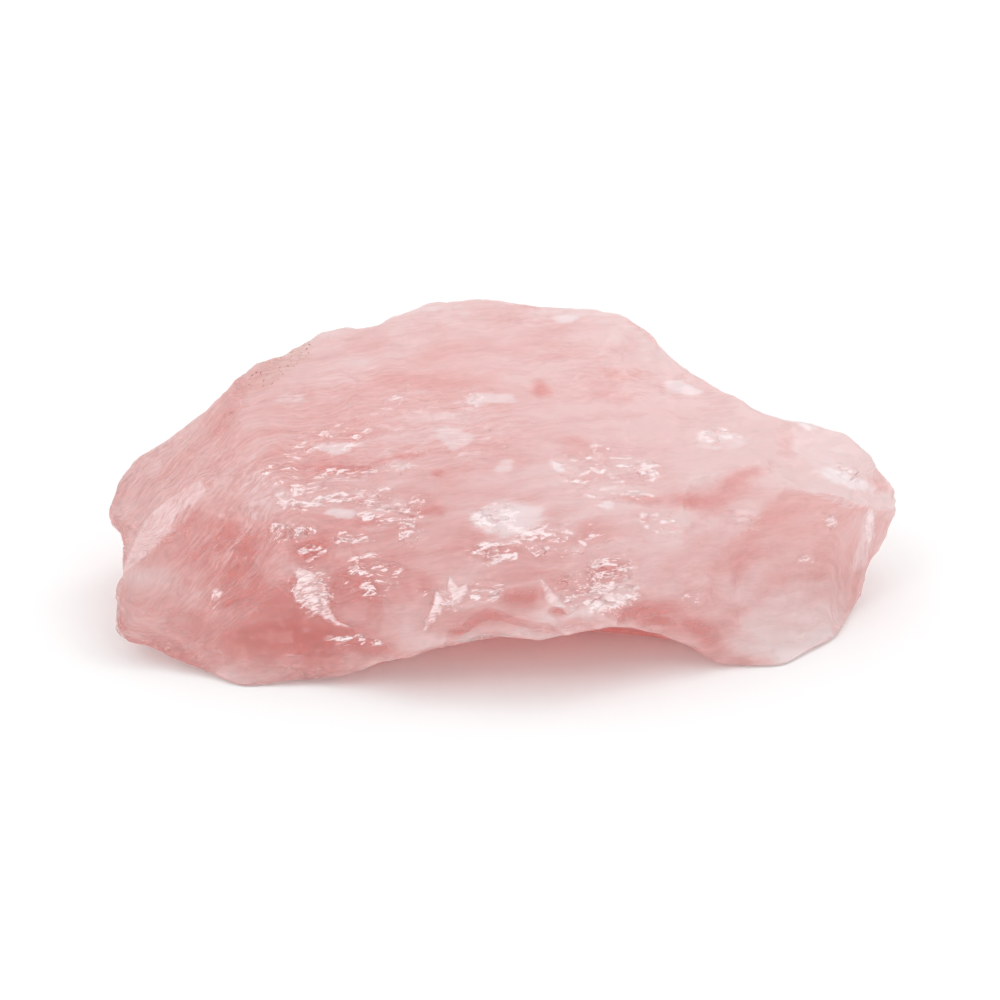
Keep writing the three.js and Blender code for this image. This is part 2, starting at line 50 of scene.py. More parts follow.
CAGE = np.array([
    (-73.7, -22.52, 9.5), (-71.71, -20.6, 11.79), (-71.09, -15.04, 12.03), (-72.7, -7.32, 12.23), (-74.4, 0.62, 14.44), (-76.4, 6.9, 14.85),
    (-75.62, 8.85, 21.29), (-72.81, 13.12, 23), (-70.04, 16.04, 25.05), (-65.11, 17.21, 27.22), (-61.22, 15.61, 31.11), (-56.77, 18.77, 34.67),
    (-52.19, 15.95, 39.26), (-47.5, 18.23, 43.14), (-42.32, 20.28, 44.55), (-35.88, 23.34, 46.28), (-30.88, 24.74, 47.32), (-27.73, 22.95, 46.86),
    (-22.56, 23.65, 49.04), (-17.02, 25.03, 52.34), (-14.13, 23.5, 52.17), (-3.54, 24.52, 53.12), (8.65, 26.6, 50.06), (14.68, 29.1, 49.29),
    (24.04, 27.32, 48.79), (30.72, 24.93, 45.1), (33.08, 20.83, 39.75), (44.48, 18.34, 35.83), (46.49, 14.04, 36.06), (53.45, 12.79, 32.88),
    (55.63, 13.87, 33.15), (57.91, 13.9, 33.12), (66.67, 14.37, 29.12), (68.29, 13.2, 27.18), (71, 11.21, 24.44), (72.78, 9.1, 21.23),
    (76.37, 6.09, 20.07), (75.75, 5.01, 18.65), (75.85, 2.83, 15.29), (72.81, 0.49, 9.9), (70.56, -3.78, 5.38), (67.94, -3.85, 0.8),
    (65.21, -10.85, 0.88), (62.63, -18.35, 0.45), (56.22, -23.35, 1.04), (52.33, -29.1, 0.13), (45.42, -28.89, 0.46), (38.01, -29.59, 0.78),
    (36.65, -30.76, 4.21), (30.85, -32.09, 7.19), (27.14, -33.25, 9.36), (21.09, -36.96, 12.59), (17.54, -38.45, 12.83), (11.73, -40.85, 12.93),
    (6.25, -42.34, 11.57), (2.17, -41.21, 11.96), (-2.46, -40.11, 12.21), (-6.95, -41.46, 11.66), (-11.69, -40.72, 9.8), (-16.69, -39.83, 8.01),
    (-19.88, -38.27, 4.34), (-22.52, -37.01, 3.69), (-32.54, -36.12, 1.16), (-38.6, -35.91, 1.32), (-45.14, -36.65, 0), (-49.01, -36.65, 0.33),
    (-53.02, -33.52, 0.76), (-57.65, -30.82, 1.93), (-61.66, -29.73, 2.16), (-64.72, -27.64, 4.26), (-69.95, -27.87, 4.27), (-72, -24.6, 7.04),
    (-50.54, 10.84, 36.92), (-50.4, 6.67, 34.4), (-47.94, 1.11, 33.13), (-47, -2.14, 30.94), (-47.63, -7.62, 29.09), (-47, -12.4, 26.84),
    (-49.05, -17.8, 24.11), (-57.38, -10.01, 30.1), (-61.78, -8.6, 24.41), (-64.28, -9.9, 23.45), (-66.57, -9.73, 20.94), (-68.12, -10.89, 18.48),
    (-71.08, -9.43, 13.9), (-57.23, -14.26, 26.81), (-59.57, -13.9, 23.59), (-65.09, -14.73, 19.11), (-69.96, -14.34, 13.06), (34.2, -15.01, 31.69),
    (41.19, -10.19, 30.91), (48.33, -4.63, 31.53), (49.87, -8.09, 29.07), (55.19, -9.45, 27.17), (61.68, -7.88, 26), (65, -6.9, 23.79),
    (68.77, -4.17, 20.89), (72.75, -0.18, 18.26), (50.73, 3.33, 30.84), (33.48, -21.21, 26.07), (32.08, -26.19, 20.53), (33.22, -30.11, 14.73),
    (-39.02, -17.99, 24.74), (-30.89, -19.53, 26.28), (-23.41, -23.29, 27.56), (-4.28, -28.41, 26.49), (2.62, -28.22, 25.86), (10.56, -27.04, 26.54),
    (16.96, -22.61, 28.64), (22.39, -17.45, 30.2), (28.82, -15.88, 30.74), (-49.5, 13.88, 37.69), (-43.26, 13.28, 40.36), (-36.06, 14.84, 42.47),
    (18.35, 16.47, 45.59), (15.5, 10.91, 43.39), (-40.18, 5.93, 36.62), (-40.73, -3.41, 31.79), (-40.34, -10.38, 28.64), (-33.48, 19.85, 44.54),
    (-32.13, 8.53, 39.04), (-31.53, 0.73, 35.3), (-27.74, -9.07, 31.22), (-30.46, -14.84, 28.39), (-22.35, 17.49, 44.31), (-20.79, 9.75, 41.19),
    (-20.08, 1.85, 37.29), (-20.1, -5.46, 33.89), (-18.1, -14.92, 30.1), (-14.52, 19.77, 48.23), (-11.88, 11.3, 43.35), (-11.05, 5.21, 40.05),
    (-10.1, -3.64, 35.45), (-8.64, -13.13, 31.06), (-10.68, -17.22, 27.63), (0.88, 21.36, 49.28), (-4, 17.6, 46.74), (5.25, 6.3, 40.6),
    (2.01, -3.39, 36.07), (2.39, -11.8, 32.41), (0.27, -19.52, 29.41), (8.18, 23.29, 47.72), (9.23, 6.15, 40.59), (10.84, -0.44, 37.12),
    (9.56, -10.56, 32.65), (10.08, -21.59, 28.44), (21.91, 12.14, 41.25), (20.46, 1.06, 36.8), (17.84, -7.97, 33.63), (27.63, 18.43, 40.52),
    (32.82, 8.74, 36.65), (29.77, -4.26, 33.54), (35.79, 8.22, 35.56), (36.75, 0.61, 34.01), (45.04, 2.3, 32.45), (51.8, -0.87, 28.74),
    (64.01, 6.62, 27.41), (66.44, 2.42, 24.54), (-36.27, -22.23, 20.38), (-29.43, -21.4, 24.4), (-20.35, -26.85, 21.65), (-13.16, -24.31, 24.29),
    (-4.25, -30.49, 21.27), (6.09, -30.93, 22.24), (10.63, -30.31, 22.19), (21.53, -24.86, 24.12), (31.96, -22.53, 24.35), (-37.72, -27.53, 13.08),
    (-27.21, -26.89, 17.81), (-18.92, -31.73, 14.95), (-12.57, -32.6, 16.8), (-4.92, -32.3, 19.55), (4.72, -33.18, 19.56), (16.67, -31.97, 18.86),
    (19.85, -32.78, 15.46), (28.01, -29.67, 16.14), (-37.97, -31.86, 7.11), (-30, -31.09, 9.72), (-18.44, -35.95, 10.21), (-9.51, -37.36, 13.5),
    (-1.18, -37.13, 15.27), (6.77, -39.51, 13.41), (13.15, -37.6, 15.04), (22.89, -33.24, 14.49), (31.34, -31.48, 8.64), (-32.81, -33.21, 5.45),
    (-26.32, -34.77, 6.48), (-50.52, -16.83, 23.27), (-60.99, -17.42, 18.46), (-62.59, -18.35, 14.3), (-70.85, -21.52, 8.77), (-72.68, -24.92, 5.59),
    (-59.43, -22.33, 11.63), (-49.14, -22.37, 15.59), (-44.61, -19.98, 21.09), (-45.05, -24.2, 15.21), (-49.6, -26.9, 9.59), (-58.61, -26.63, 7.56),
    (-44.92, -29.45, 8.5), (-54.12, -31.1, 3.31), (-54.39, 5.86, 31.04), (-53.79, -0.81, 29.49), (-57.81, 3.42, 29.14), (-62.54, 0.46, 26.33),
    (-68.21, 3.22, 22.94), (-70.44, -2.02, 19.27), (-60.67, -2.18, 28.04), (-51.81, -7.44, 28.85), (39.8, -16.36, 23.27), (44.74, -13.71, 24.83),
    (54.49, -11.37, 20.65), (65.04, -5.87, 18.69), (71.14, -0.72, 13.87), (40.28, -21.71, 17.71), (48.28, -17.91, 15.32), (54.83, -13.99, 12.36),
    (61.37, -9.4, 10.41), (42.41, -26.81, 6.22), (49.55, -22.53, 6.65), (57.24, -16.23, 6.19), (47.37, -27.07, 2.47), (55.82, -21.9, 2.55),
    (-58.89, 25.53, 19.81), (-41.7, 29.26, 30.84), (-26.44, 31.45, 40.15), (-6.81, 37.92, 43.21), (6.68, 36.48, 45.32), (23.75, 39.91, 40.48),
    (42.55, 30.63, 30.17), (50.62, 23.07, 25.17), (65.95, 19.19, 19.75), (-72.28, 15.47, 7.12), (-63.94, 27.05, 13.34), (-49.8, 36.09, 23.28),
    (-26.59, 45.91, 24.97), (-9.32, 48.04, 25.9), (8.11, 49.7, 28.05), (30.5, 46.21, 32.72), (41.59, 39.38, 17.74), (56.94, 29.96, 13.98),
    (66.39, 24.23, 9.85), (-69.75, 15.36, 2.94), (-54.58, 31.8, 4.48), (-31.03, 37.44, 6.32), (-19.02, 38.26, 4.97), (-5.29, 39.41, 1.4),
    (22.97, 41.57, 3.73), (38.87, 36.26, 3.79), (54.91, 26.12, 1.81), (68.34, 11.68, 3.52), (-68.16, 2.38, 5.42), (-64.89, -9.32, 2.4),
    (67.6, 1.91, 5.75), (-58.15, -17.2, 0), (-61.37, -9.02, 0), (-59.38, 5.3, 0), (-55.13, 17.84, 0), (-38.1, 25.35, 0),
    (-20.47, 30.75, 0), (-0.02, 31.65, 0), (20.55, 31.65, 0), (37.82, 27.74, 0), (50.15, 19.4, 0), (61.58, 8.68, 0),
    (63.52, -0.1, 0), (62.35, -8.28, 0), (59.08, -14.77, 0), (55.31, -22.65, 0), (49.67, -26.64, 0), (40.01, -26.77, 0),
    (36.28, -19.27, 0), (30.86, -16.17, 0), (20.28, -9.04, 0), (8.02, -13.69, 0), (-4.37, -14.2, 0), (-14.54, -19.51, 0),
    (-21.47, -27.77, 0), (-31.59, -31.4, 0), (-44.18, -35.64, 0), (-49.7, -30.04, 0), (-57.04, -24.19, 0), (-51.25, -14.84, 0),
    (-44, 4.29, 0), (-24.74, -14.55, 0), (-19.38, 9.68, 0), (3.21, 8.52, 0), (5.1, 14.92, 0), (21.08, 2.14, 0),
    (33.47, 14.25, 0), (49.58, -10.74, 0), (45.44, 6.4, 0), (-5.8, -27.75, 8.99), (1.64, -22.84, 8.84), (5.86, -25.62, 7.92),
    (12.59, -24.85, 9.51), (22.72, -21.48, 8.41),
], float)

FACES = np.array([
    (273, 274, 285), (273, 285, 272), (293, 274, 273), (293, 53, 54), (208, 100, 213), (134, 161, 105), (254, 255, 282), (81, 203, 205), (132, 139, 138),
    (132, 133, 139), (128, 122, 123), (128, 123, 104), (128, 104, 134), (128, 134, 133), (218, 219, 215), (216, 215, 219), (216, 211, 215), (252, 40, 264),
    (252, 240, 38), (239, 248, 247), (239, 240, 248), (181, 172, 171), (181, 54, 53), (277, 276, 62), (291, 62, 276), (58, 178, 59), (55, 54, 181),
    (55, 56, 58), (110, 89, 148), (90, 148, 89), (90, 208, 92), (90, 89, 208), (175, 100, 174), (166, 174, 100), (164, 165, 107), (164, 174, 166),
    (164, 166, 165), (164, 107, 106), (179, 178, 58), (169, 178, 179), (162, 106, 105), (162, 105, 161), (144, 109, 110), (144, 110, 148), (275, 291, 276),
    (256, 282, 255), (256, 284, 282), (5, 6, 231), (5, 231, 4), (5, 4, 205), (250, 4, 231), (250, 255, 254), (223, 224, 234), (222, 231, 6),
    (286, 288, 285), (286, 285, 284), (82, 205, 83), (82, 81, 205), (195, 167, 194), (160, 134, 104), (160, 161, 134), (160, 169, 161), (159, 169, 160),
    (79, 85, 207), (118, 123, 122), (118, 102, 123), (204, 203, 202), (204, 205, 203), (204, 5, 205), (204, 6, 5), (235, 234, 224), (235, 244, 234),
    (228, 28, 229), (226, 25, 227), (151, 147, 148), (151, 90, 153), (151, 148, 90), (143, 148, 147), (143, 138, 139), (143, 144, 148), (143, 139, 144),
    (287, 289, 272), (287, 272, 285), (287, 285, 288), (42, 216, 219), (267, 270, 289), (214, 218, 215), (214, 208, 213), (214, 209, 208), (220, 46, 45),
    (150, 147, 151), (230, 239, 229), (230, 240, 239), (230, 229, 33), (230, 33, 34), (230, 36, 240), (212, 211, 216), (261, 247, 248), (249, 240, 252),
    (249, 248, 240), (238, 229, 239), (238, 237, 228), (238, 228, 229), (238, 239, 247), (173, 172, 181), (173, 164, 172), (173, 174, 164), (271, 273, 272),
    (271, 270, 273), (271, 272, 289), (271, 289, 270), (294, 293, 273), (294, 273, 270), (278, 279, 277), (278, 65, 279), (177, 59, 178), (177, 60, 59),
    (84, 83, 205), (251, 0, 2), (251, 250, 254), (93, 92, 208), (93, 208, 209), (93, 209, 94), (99, 208, 89), (99, 89, 110), (99, 110, 109),
    (99, 165, 166), (99, 100, 208), (99, 166, 100), (91, 153, 90), (91, 90, 92), (101, 213, 100), (101, 100, 175), (51, 53, 293), (180, 181, 171),
    (180, 56, 55), (180, 55, 181), (57, 58, 56), (57, 179, 58), (57, 56, 180), (57, 180, 179), (170, 161, 169), (170, 162, 161), (170, 171, 162),
    (170, 169, 179), (170, 180, 171), (170, 179, 180), (163, 164, 106), (163, 106, 162), (163, 172, 164), (163, 171, 172), (163, 162, 171), (140, 134, 105),
    (140, 133, 134), (140, 105, 106), (140, 139, 133), (140, 144, 139), (283, 254, 282), (283, 274, 275), (283, 282, 284), (283, 285, 274), (283, 284, 285),
    (292, 291, 275), (292, 274, 293), (292, 275, 274), (292, 58, 59), (292, 59, 60), (292, 60, 291), (292, 55, 58), (292, 293, 54), (292, 54, 55),
    (233, 223, 234), (233, 222, 223), (233, 244, 243), (233, 234, 244), (10, 11, 223), (10, 223, 222), (258, 243, 244), (258, 286, 284), (168, 159, 167),
    (168, 169, 159), (168, 178, 169), (168, 177, 178), (158, 194, 167), (158, 167, 159), (103, 104, 123), (103, 123, 102), (103, 160, 104), (103, 159, 160),
    (103, 158, 159), (103, 102, 158), (127, 133, 132), (127, 128, 133), (127, 122, 128), (131, 132, 138), (80, 85, 79), (80, 203, 81), (77, 102, 118),
    (77, 207, 85), (77, 118, 76), (121, 122, 127), (76, 118, 122), (77, 76, 207), (76, 79, 207), (225, 235, 224), (225, 226, 235), (142, 143, 147),
    (142, 138, 143), (265, 289, 264), (41, 40, 216), (41, 216, 42), (41, 42, 265), (41, 264, 40), (41, 265, 264), (221, 219, 218), (221, 220, 45),
    (221, 218, 220), (266, 267, 289), (266, 289, 265), (266, 265, 42), (210, 215, 211), (210, 214, 215), (210, 209, 214), (210, 211, 96), (210, 94, 209),
    (152, 151, 153), (152, 150, 151), (146, 147, 150), (146, 142, 147), (146, 115, 142), (98, 153, 91), (98, 91, 92), (37, 38, 240), (37, 240, 36),
    (37, 36, 157), (35, 230, 34), (35, 36, 230), (35, 34, 157), (35, 157, 36), (39, 40, 252), (39, 216, 40), (39, 212, 216), (39, 252, 38),
    (39, 38, 212), (260, 288, 286), (260, 261, 288), (260, 247, 261), (262, 248, 249), (262, 288, 261), (262, 261, 248), (182, 181, 53), (182, 173, 181),
    (182, 174, 173), (268, 270, 267), (268, 269, 270), (268, 45, 46), (268, 46, 269), (295, 270, 269), (295, 294, 270), (61, 62, 291), (61, 291, 60),
    (185, 198, 65), (78, 77, 85), (78, 102, 77), (78, 194, 158), (78, 158, 102), (3, 250, 251), (3, 4, 250), (3, 2, 84), (3, 251, 2),
    (3, 205, 4), (3, 84, 205), (95, 96, 157), (95, 210, 96), (95, 94, 210), (217, 213, 101), (217, 214, 213), (217, 218, 214), (217, 220, 218),
    (183, 175, 174), (183, 174, 182), (108, 107, 165), (108, 99, 109), (108, 165, 99), (145, 109, 144), (145, 144, 140), (145, 108, 109), (145, 107, 108),
    (145, 106, 107), (145, 140, 106), (281, 254, 283), (281, 279, 280), (281, 277, 279), (281, 276, 277), (281, 275, 276), (281, 283, 275), (241, 242, 256),
    (241, 256, 255), (241, 255, 250), (241, 250, 231), (232, 231, 222), (232, 241, 231), (232, 242, 241), (232, 222, 233), (232, 243, 242), (232, 233, 243),
    (200, 11, 10), (8, 204, 202), (236, 244, 235), (236, 245, 244), (236, 237, 245), (236, 228, 237), (236, 227, 228), (236, 226, 227), (236, 235, 226),
    (259, 244, 245), (259, 258, 244), (259, 286, 258), (259, 260, 286), (257, 256, 242), (257, 284, 256), (257, 258, 284), (257, 242, 243), (257, 243, 258),
    (71, 251, 70), (71, 70, 191), (71, 0, 251), (196, 198, 195), (12, 11, 72), (12, 223, 11), (12, 13, 223), (14, 224, 223), (14, 223, 13),
    (206, 76, 75), (206, 202, 203), (206, 79, 76), (206, 203, 80), (206, 80, 79), (24, 25, 226), (24, 226, 23), (44, 221, 45), (43, 44, 267),
    (44, 45, 268), (44, 268, 267), (43, 221, 44), (43, 267, 266), (43, 219, 221), (43, 42, 219), (43, 266, 42), (26, 227, 25), (26, 228, 227),
    (31, 229, 28), (154, 152, 153), (154, 153, 98), (156, 157, 34), (156, 34, 33), (156, 95, 157), (156, 94, 95), (156, 98, 92), (156, 92, 93),
    (156, 93, 94), (97, 157, 96), (97, 37, 157), (97, 96, 211), (97, 211, 212), (97, 212, 38), (97, 38, 37), (246, 247, 260), (246, 238, 247),
    (246, 259, 245), (246, 260, 259), (246, 237, 238), (246, 245, 237), (290, 264, 289), (290, 289, 287), (290, 287, 288), (290, 288, 262), (47, 269, 46),
    (47, 295, 269), (63, 62, 185), (63, 277, 62), (63, 278, 277), (186, 62, 61), (186, 185, 62), (186, 177, 185), (186, 60, 177), (186, 61, 60),
    (176, 185, 177), (176, 198, 185), (176, 177, 168), (176, 168, 167), (176, 167, 195), (176, 195, 198), (1, 2, 0), (1, 189, 2), (193, 195, 194),
    (193, 194, 188), (193, 188, 189), (88, 84, 2), (88, 2, 189), (88, 189, 188), (88, 83, 84), (86, 81, 82), (86, 78, 85), (86, 85, 80),
    (86, 80, 81), (52, 51, 183), (52, 183, 182), (52, 53, 51), (52, 182, 53), (253, 251, 254), (253, 254, 281), (253, 281, 280), (253, 70, 251),
    (253, 280, 70), (9, 10, 222), (9, 222, 8), (9, 8, 202), (9, 202, 200), (9, 200, 10), (7, 6, 204), (7, 204, 8), (7, 222, 6),
    (7, 8, 222), (197, 191, 70), (197, 196, 191), (111, 12, 72), (111, 13, 12), (111, 112, 13), (15, 16, 224), (15, 224, 14), (20, 21, 225),
    (126, 131, 125), (126, 132, 131), (126, 120, 121), (126, 125, 120), (126, 127, 132), (126, 121, 127), (130, 125, 131), (124, 125, 130), (116, 111, 72),
    (116, 112, 111), (116, 121, 120), (116, 120, 112), (117, 122, 121), (117, 74, 75), (117, 121, 116), (117, 116, 74), (117, 76, 122), (117, 75, 76),
    (201, 202, 206), (201, 206, 75), (201, 75, 74), (201, 200, 202), (201, 74, 200), (114, 115, 146), (114, 24, 23), (114, 25, 24), (114, 141, 115),
    (114, 23, 141), (22, 141, 23), (22, 225, 21), (22, 23, 226), (22, 226, 225), (149, 150, 152), (149, 26, 25), (149, 146, 150), (149, 25, 114),
    (149, 114, 146), (29, 154, 98), (29, 28, 152), (29, 152, 154), (155, 98, 156), (155, 156, 33), (263, 262, 249), (263, 290, 262), (263, 264, 290),
    (263, 252, 264), (263, 249, 252), (64, 65, 278), (64, 278, 63), (64, 185, 65), (64, 63, 185), (192, 71, 191), (192, 195, 193), (192, 196, 195),
    (192, 191, 196), (87, 83, 88), (87, 88, 188), (87, 82, 83), (87, 86, 82), (187, 188, 194), (187, 194, 78), (187, 78, 86), (187, 87, 188),
    (187, 86, 87), (48, 294, 295), (48, 49, 294), (48, 295, 47), (101, 48, 217), (48, 220, 217), (48, 46, 220), (48, 47, 46), (50, 294, 49),
    (50, 293, 294), (50, 51, 293), (50, 183, 51), (69, 70, 280), (69, 197, 70), (119, 120, 125), (15, 14, 113), (119, 125, 124), (119, 16, 15),
    (119, 124, 16), (137, 130, 131), (137, 131, 138), (137, 138, 142), (73, 116, 72), (73, 74, 116), (73, 200, 74), (73, 72, 11), (73, 11, 200),
    (27, 149, 152), (27, 26, 149), (27, 152, 28), (27, 28, 228), (27, 228, 26), (30, 155, 31), (30, 31, 28), (30, 28, 29), (30, 29, 98),
    (30, 98, 155), (32, 155, 33), (32, 31, 155), (32, 33, 229), (32, 229, 31), (190, 0, 71), (190, 71, 192), (190, 1, 0), (190, 189, 1),
    (190, 193, 189), (190, 192, 193), (184, 183, 50), (184, 101, 175), (184, 175, 183), (184, 50, 49), (101, 184, 49), (101, 49, 48), (66, 279, 65),
    (66, 65, 198), (67, 279, 66), (67, 280, 279), (68, 196, 197), (68, 197, 69), (68, 69, 280), (68, 280, 67), (113, 120, 119), (15, 113, 119),
    (113, 112, 120), (113, 13, 112), (113, 14, 13), (136, 142, 115), (136, 137, 142), (136, 115, 141), (136, 130, 137), (17, 16, 124), (17, 124, 18),
    (17, 18, 225), (17, 224, 16), (17, 225, 224), (19, 18, 124), (19, 130, 129), (19, 124, 130), (19, 129, 20), (19, 20, 225), (19, 225, 18),
    (199, 198, 196), (199, 196, 68), (199, 68, 67), (199, 66, 198), (199, 67, 66), (135, 136, 141), (135, 22, 21), (135, 141, 22), (135, 21, 20),
    (135, 20, 129), (135, 129, 130), (135, 130, 136),
], np.int64)

RIDGES = [
    (253, 254, 9), (254, 255, 9), (255, 256, 9), (256, 257, 9), (257, 258, 9), (258, 259, 9), (259, 260, 9), (260, 261, 9),
    (261, 262, 9), (262, 263, 9), (263, 264, 9), (264, 265, 9), (265, 266, 9), (266, 267, 9), (267, 268, 9), (268, 269, 9),
    (269, 270, 9), (270, 271, 9), (271, 272, 9), (272, 273, 9), (273, 274, 9), (274, 275, 9), (275, 276, 9), (276, 277, 9),
    (277, 278, 9), (278, 279, 9), (279, 280, 9), (253, 280, 9), (45, 46, 3.2), (46, 47, 3.2), (47, 48, 3.2), (48, 49, 3.2),
    (49, 50, 3.2), (50, 51, 3.2), (51, 52, 3.2), (52, 53, 3.2), (53, 54, 3.2), (54, 55, 3.2), (55, 56, 3.2), (56, 57, 3.2),
    (57, 58, 3.2), (58, 59, 3.2), (59, 60, 3.2), (60, 61, 3.2), (61, 62, 3.2), (62, 63, 3.2), (63, 64, 3.2), (64, 65, 3.2),
    (65, 66, 3.2), (66, 67, 3.2), (67, 68, 3.2), (68, 69, 3.2), (69, 70, 3.2), (70, 71, 3.2), (0, 71, 2), (0, 1, 2.4),
    (1, 2, 2.4), (2, 3, 2.4), (3, 4, 1.4), (4, 5, 1.4), (5, 6, 1.4), (6, 7, 1.4), (7, 8, 1.4), (8, 9, 1.4),
    (9, 10, 1.4), (10, 11, 1.4), (11, 12, 1.4), (12, 13, 1.7), (13, 14, 1.7), (14, 15, 1.7), (15, 16, 1.7), (16, 17, 1.7),
    (17, 18, 1.7), (18, 19, 1.7), (19, 20, 1.7), (20, 21, 1.7), (21, 22, 1.7), (22, 23, 1.7), (23, 24, 1.7), (24, 25, 1.7),
    (25, 26, 1.7), (26, 27, 1.7), (27, 28, 1.7), (28, 29, 1.7), (29, 30, 1.8), (30, 31, 2.4), (31, 32, 2.4), (32, 33, 2.4),
    (33, 34, 2.4), (34, 35, 2.4), (35, 36, 2.4), (36, 37, 2.4), (37, 38, 2.6), (38, 39, 2.6), (39, 40, 2.6), (40, 41, 2.6),
    (41, 42, 2.6), (42, 43, 2.6), (43, 44, 2.6), (44, 45, 2.6), (12, 72, 4), (72, 73, 4), (73, 74, 4), (74, 75, 4),
    (75, 76, 4), (76, 77, 4), (77, 78, 4), (79, 80, 3.4), (80, 81, 3.4), (81, 82, 3.4), (82, 83, 3.4), (83, 84, 3.4),
    (2, 84, 3.4), (85, 86, 3), (86, 87, 3), (87, 88, 3), (2, 88, 3), (89, 90, 4), (90, 91, 4), (91, 92, 4),
    (92, 93, 4), (93, 94, 4), (94, 95, 4), (95, 96, 4), (96, 97, 4), (37, 97, 4), (29, 98, 3.2), (92, 98, 3.2),
    (89, 99, 3.2), (99, 100, 3.2), (100, 101, 3.2), (48, 101, 1.2), (78, 102, 3), (102, 103, 3), (103, 104, 3), (12, 111, 3),
    (111, 112, 3), (112, 113, 3), (15, 113, 3), (24, 114, 3), (114, 115, 3), (104, 134, 2.6), (105, 134, 2.6), (105, 106, 2.6),
    (106, 107, 2.6), (107, 108, 2.6), (108, 109, 2.6), (109, 110, 2.6), (89, 110, 2.6),
]

BREAKS = [
    (-0.4574, 0.7954, 0.3977, 53.64),
    (0.4991, 0.7885, 0.3593, 54.56),
    (0.0400, 0.9396, 0.3399, 49.82),
    (0.0601, 0.6211, 0.7814, 56.92),
    (-0.1000, 0.9604, -0.2601, 37.41),
    (0.4187, 0.8574, -0.2991, 43.42),
    (-0.6210, 0.7011, -0.3505, 49.82),
    (-0.8638, 0.4620, 0.2009, 73.18),
    (0.8055, 0.5840, 0.1007, 66.94),
    (0.3004, 0.6007, 0.7409, 59.31),
    (-0.4500, 0.5000, 0.7400, 61.95),
]


def divide(points, faces, ridge_pairs, ridge_sharp):
    """One step of Loop's subdivision with edges that stay sharp for a number of steps."""
    n, m = len(points), len(faces)
    ends = np.sort(np.concatenate([faces[:, [0, 1]], faces[:, [1, 2]], faces[:, [2, 0]]]), 1)
    key = ends[:, 0] * n + ends[:, 1]
    keys, first, which = np.unique(key, return_index=True, return_inverse=True)
    which = which.reshape(-1)
    edges = ends[first]
    e = len(edges)
    side = np.stack([which[:m], which[m:2 * m], which[2 * m:]], 1)
    sharp = np.zeros(e)
    if len(ridge_pairs):
        lo, hi = ridge_pairs.min(1), ridge_pairs.max(1)
        sharp[np.searchsorted(keys, lo * n + hi)] = ridge_sharp
    w = np.clip(sharp, 0, 1)

    def gather(index, values, size):
        return np.stack([np.bincount(index, values[:, k], size) for k in range(3)], 1)

    across = np.concatenate([faces[:, 2], faces[:, 0], faces[:, 1]])
    middle = gather(which, points[across], e)
    a = ((1 - w) * 3 / 8 + w / 2)[:, None]
    edge_points = (points[edges[:, 0]] + points[edges[:, 1]]) * a + middle * ((1 - w) / 8)[:, None]

    valence = np.bincount(edges.ravel(), minlength=n)
    beta = (5 / 8 - (3 / 8 + np.cos(2 * np.pi / valence) / 4) ** 2) / valence
    both = np.concatenate([edges[:, 0], edges[:, 1]])
    other = np.concatenate([edges[:, 1], edges[:, 0]])
    ring = gather(both, points[other], n)
    smooth = points * (1 - valence * beta)[:, None] + ring * beta[:, None]
    hot = np.concatenate([sharp, sharp]) > 0
    count = np.bincount(both[hot], minlength=n)
    weight = np.bincount(both[hot], np.concatenate([w, w])[hot], n) / np.maximum(count, 1)
    ridge_ring = gather(both[hot], points[other[hot]], n)
    hard = np.where((count == 2)[:, None], points * 0.75 + ridge_ring * 0.125, points)
    weight = np.where(count >= 2, weight, 0)[:, None]
    vertex_points = smooth * (1 - weight) + hard * weight

    s = side + n
    new_faces = np.concatenate([
        np.stack([faces[:, 0], s[:, 0], s[:, 2]], 1), np.stack([faces[:, 1], s[:, 1], s[:, 0]], 1),
        np.stack([faces[:, 2], s[:, 2], s[:, 1]], 1), s])
    on = np.where(sharp > 1)[0]
    new_pairs = np.concatenate([np.stack([edges[on, 0], n + on], 1), np.stack([edges[on, 1], n + on], 1)])
    new_sharp = np.concatenate([sharp[on], sharp[on]]) - 1
    return np.concatenate([vertex_points, edge_points]), new_faces, new_pairs, new_sharp


def form(steps):
    points, faces = CAGE.copy(), FACES.copy()
    pairs = np.array([r[:2] for r in RIDGES], np.int64)
    sharp = np.array([r[2] for r in RIDGES], float)
    for _ in range(steps):
        points, faces, pairs, sharp = divide(points, faces, pairs, sharp)
    for x, y, z, d in BREAKS:
        out = np.array([x, y, z])
        over = np.maximum(points @ out - d, 0)
        points -= over[:, None] * out
    points -= np.array([CENTRE_X, CENTRE_Y, 0])
    return points, faces


def normals_of(points, faces):
    face_n = np.cross(points[faces[:, 1]] - points[faces[:, 0]], points[faces[:, 2]] - points[faces[:, 0]])
    out = np.zeros_like(points)
    for k in range(3):
        for c in range(3):
            out[:, c] += np.bincount(faces[:, k], face_n[:, c], len(points))
    return out / np.maximum(np.linalg.norm(out, axis=1), 1e-12)[:, None]


def averaged(values, faces, rounds):
    """Values of the vertices, averaged over their neighbours a number of times."""
    a = np.concatenate([faces[:, 0], faces[:, 1], faces[:, 2]])
    b = np.concatenate([faces[:, 1], faces[:, 2], faces[:, 0]])
    flat = values.reshape(len(values), -1)
    share = np.bincount(a, minlength=len(flat))[:, None] + 1.0
    for _ in range(rounds):
        flat = (flat + np.stack([np.bincount(a, flat[b, c], len(flat)) for c in range(flat.shape[1])], 1)) / share
    return flat.reshape(values.shape)


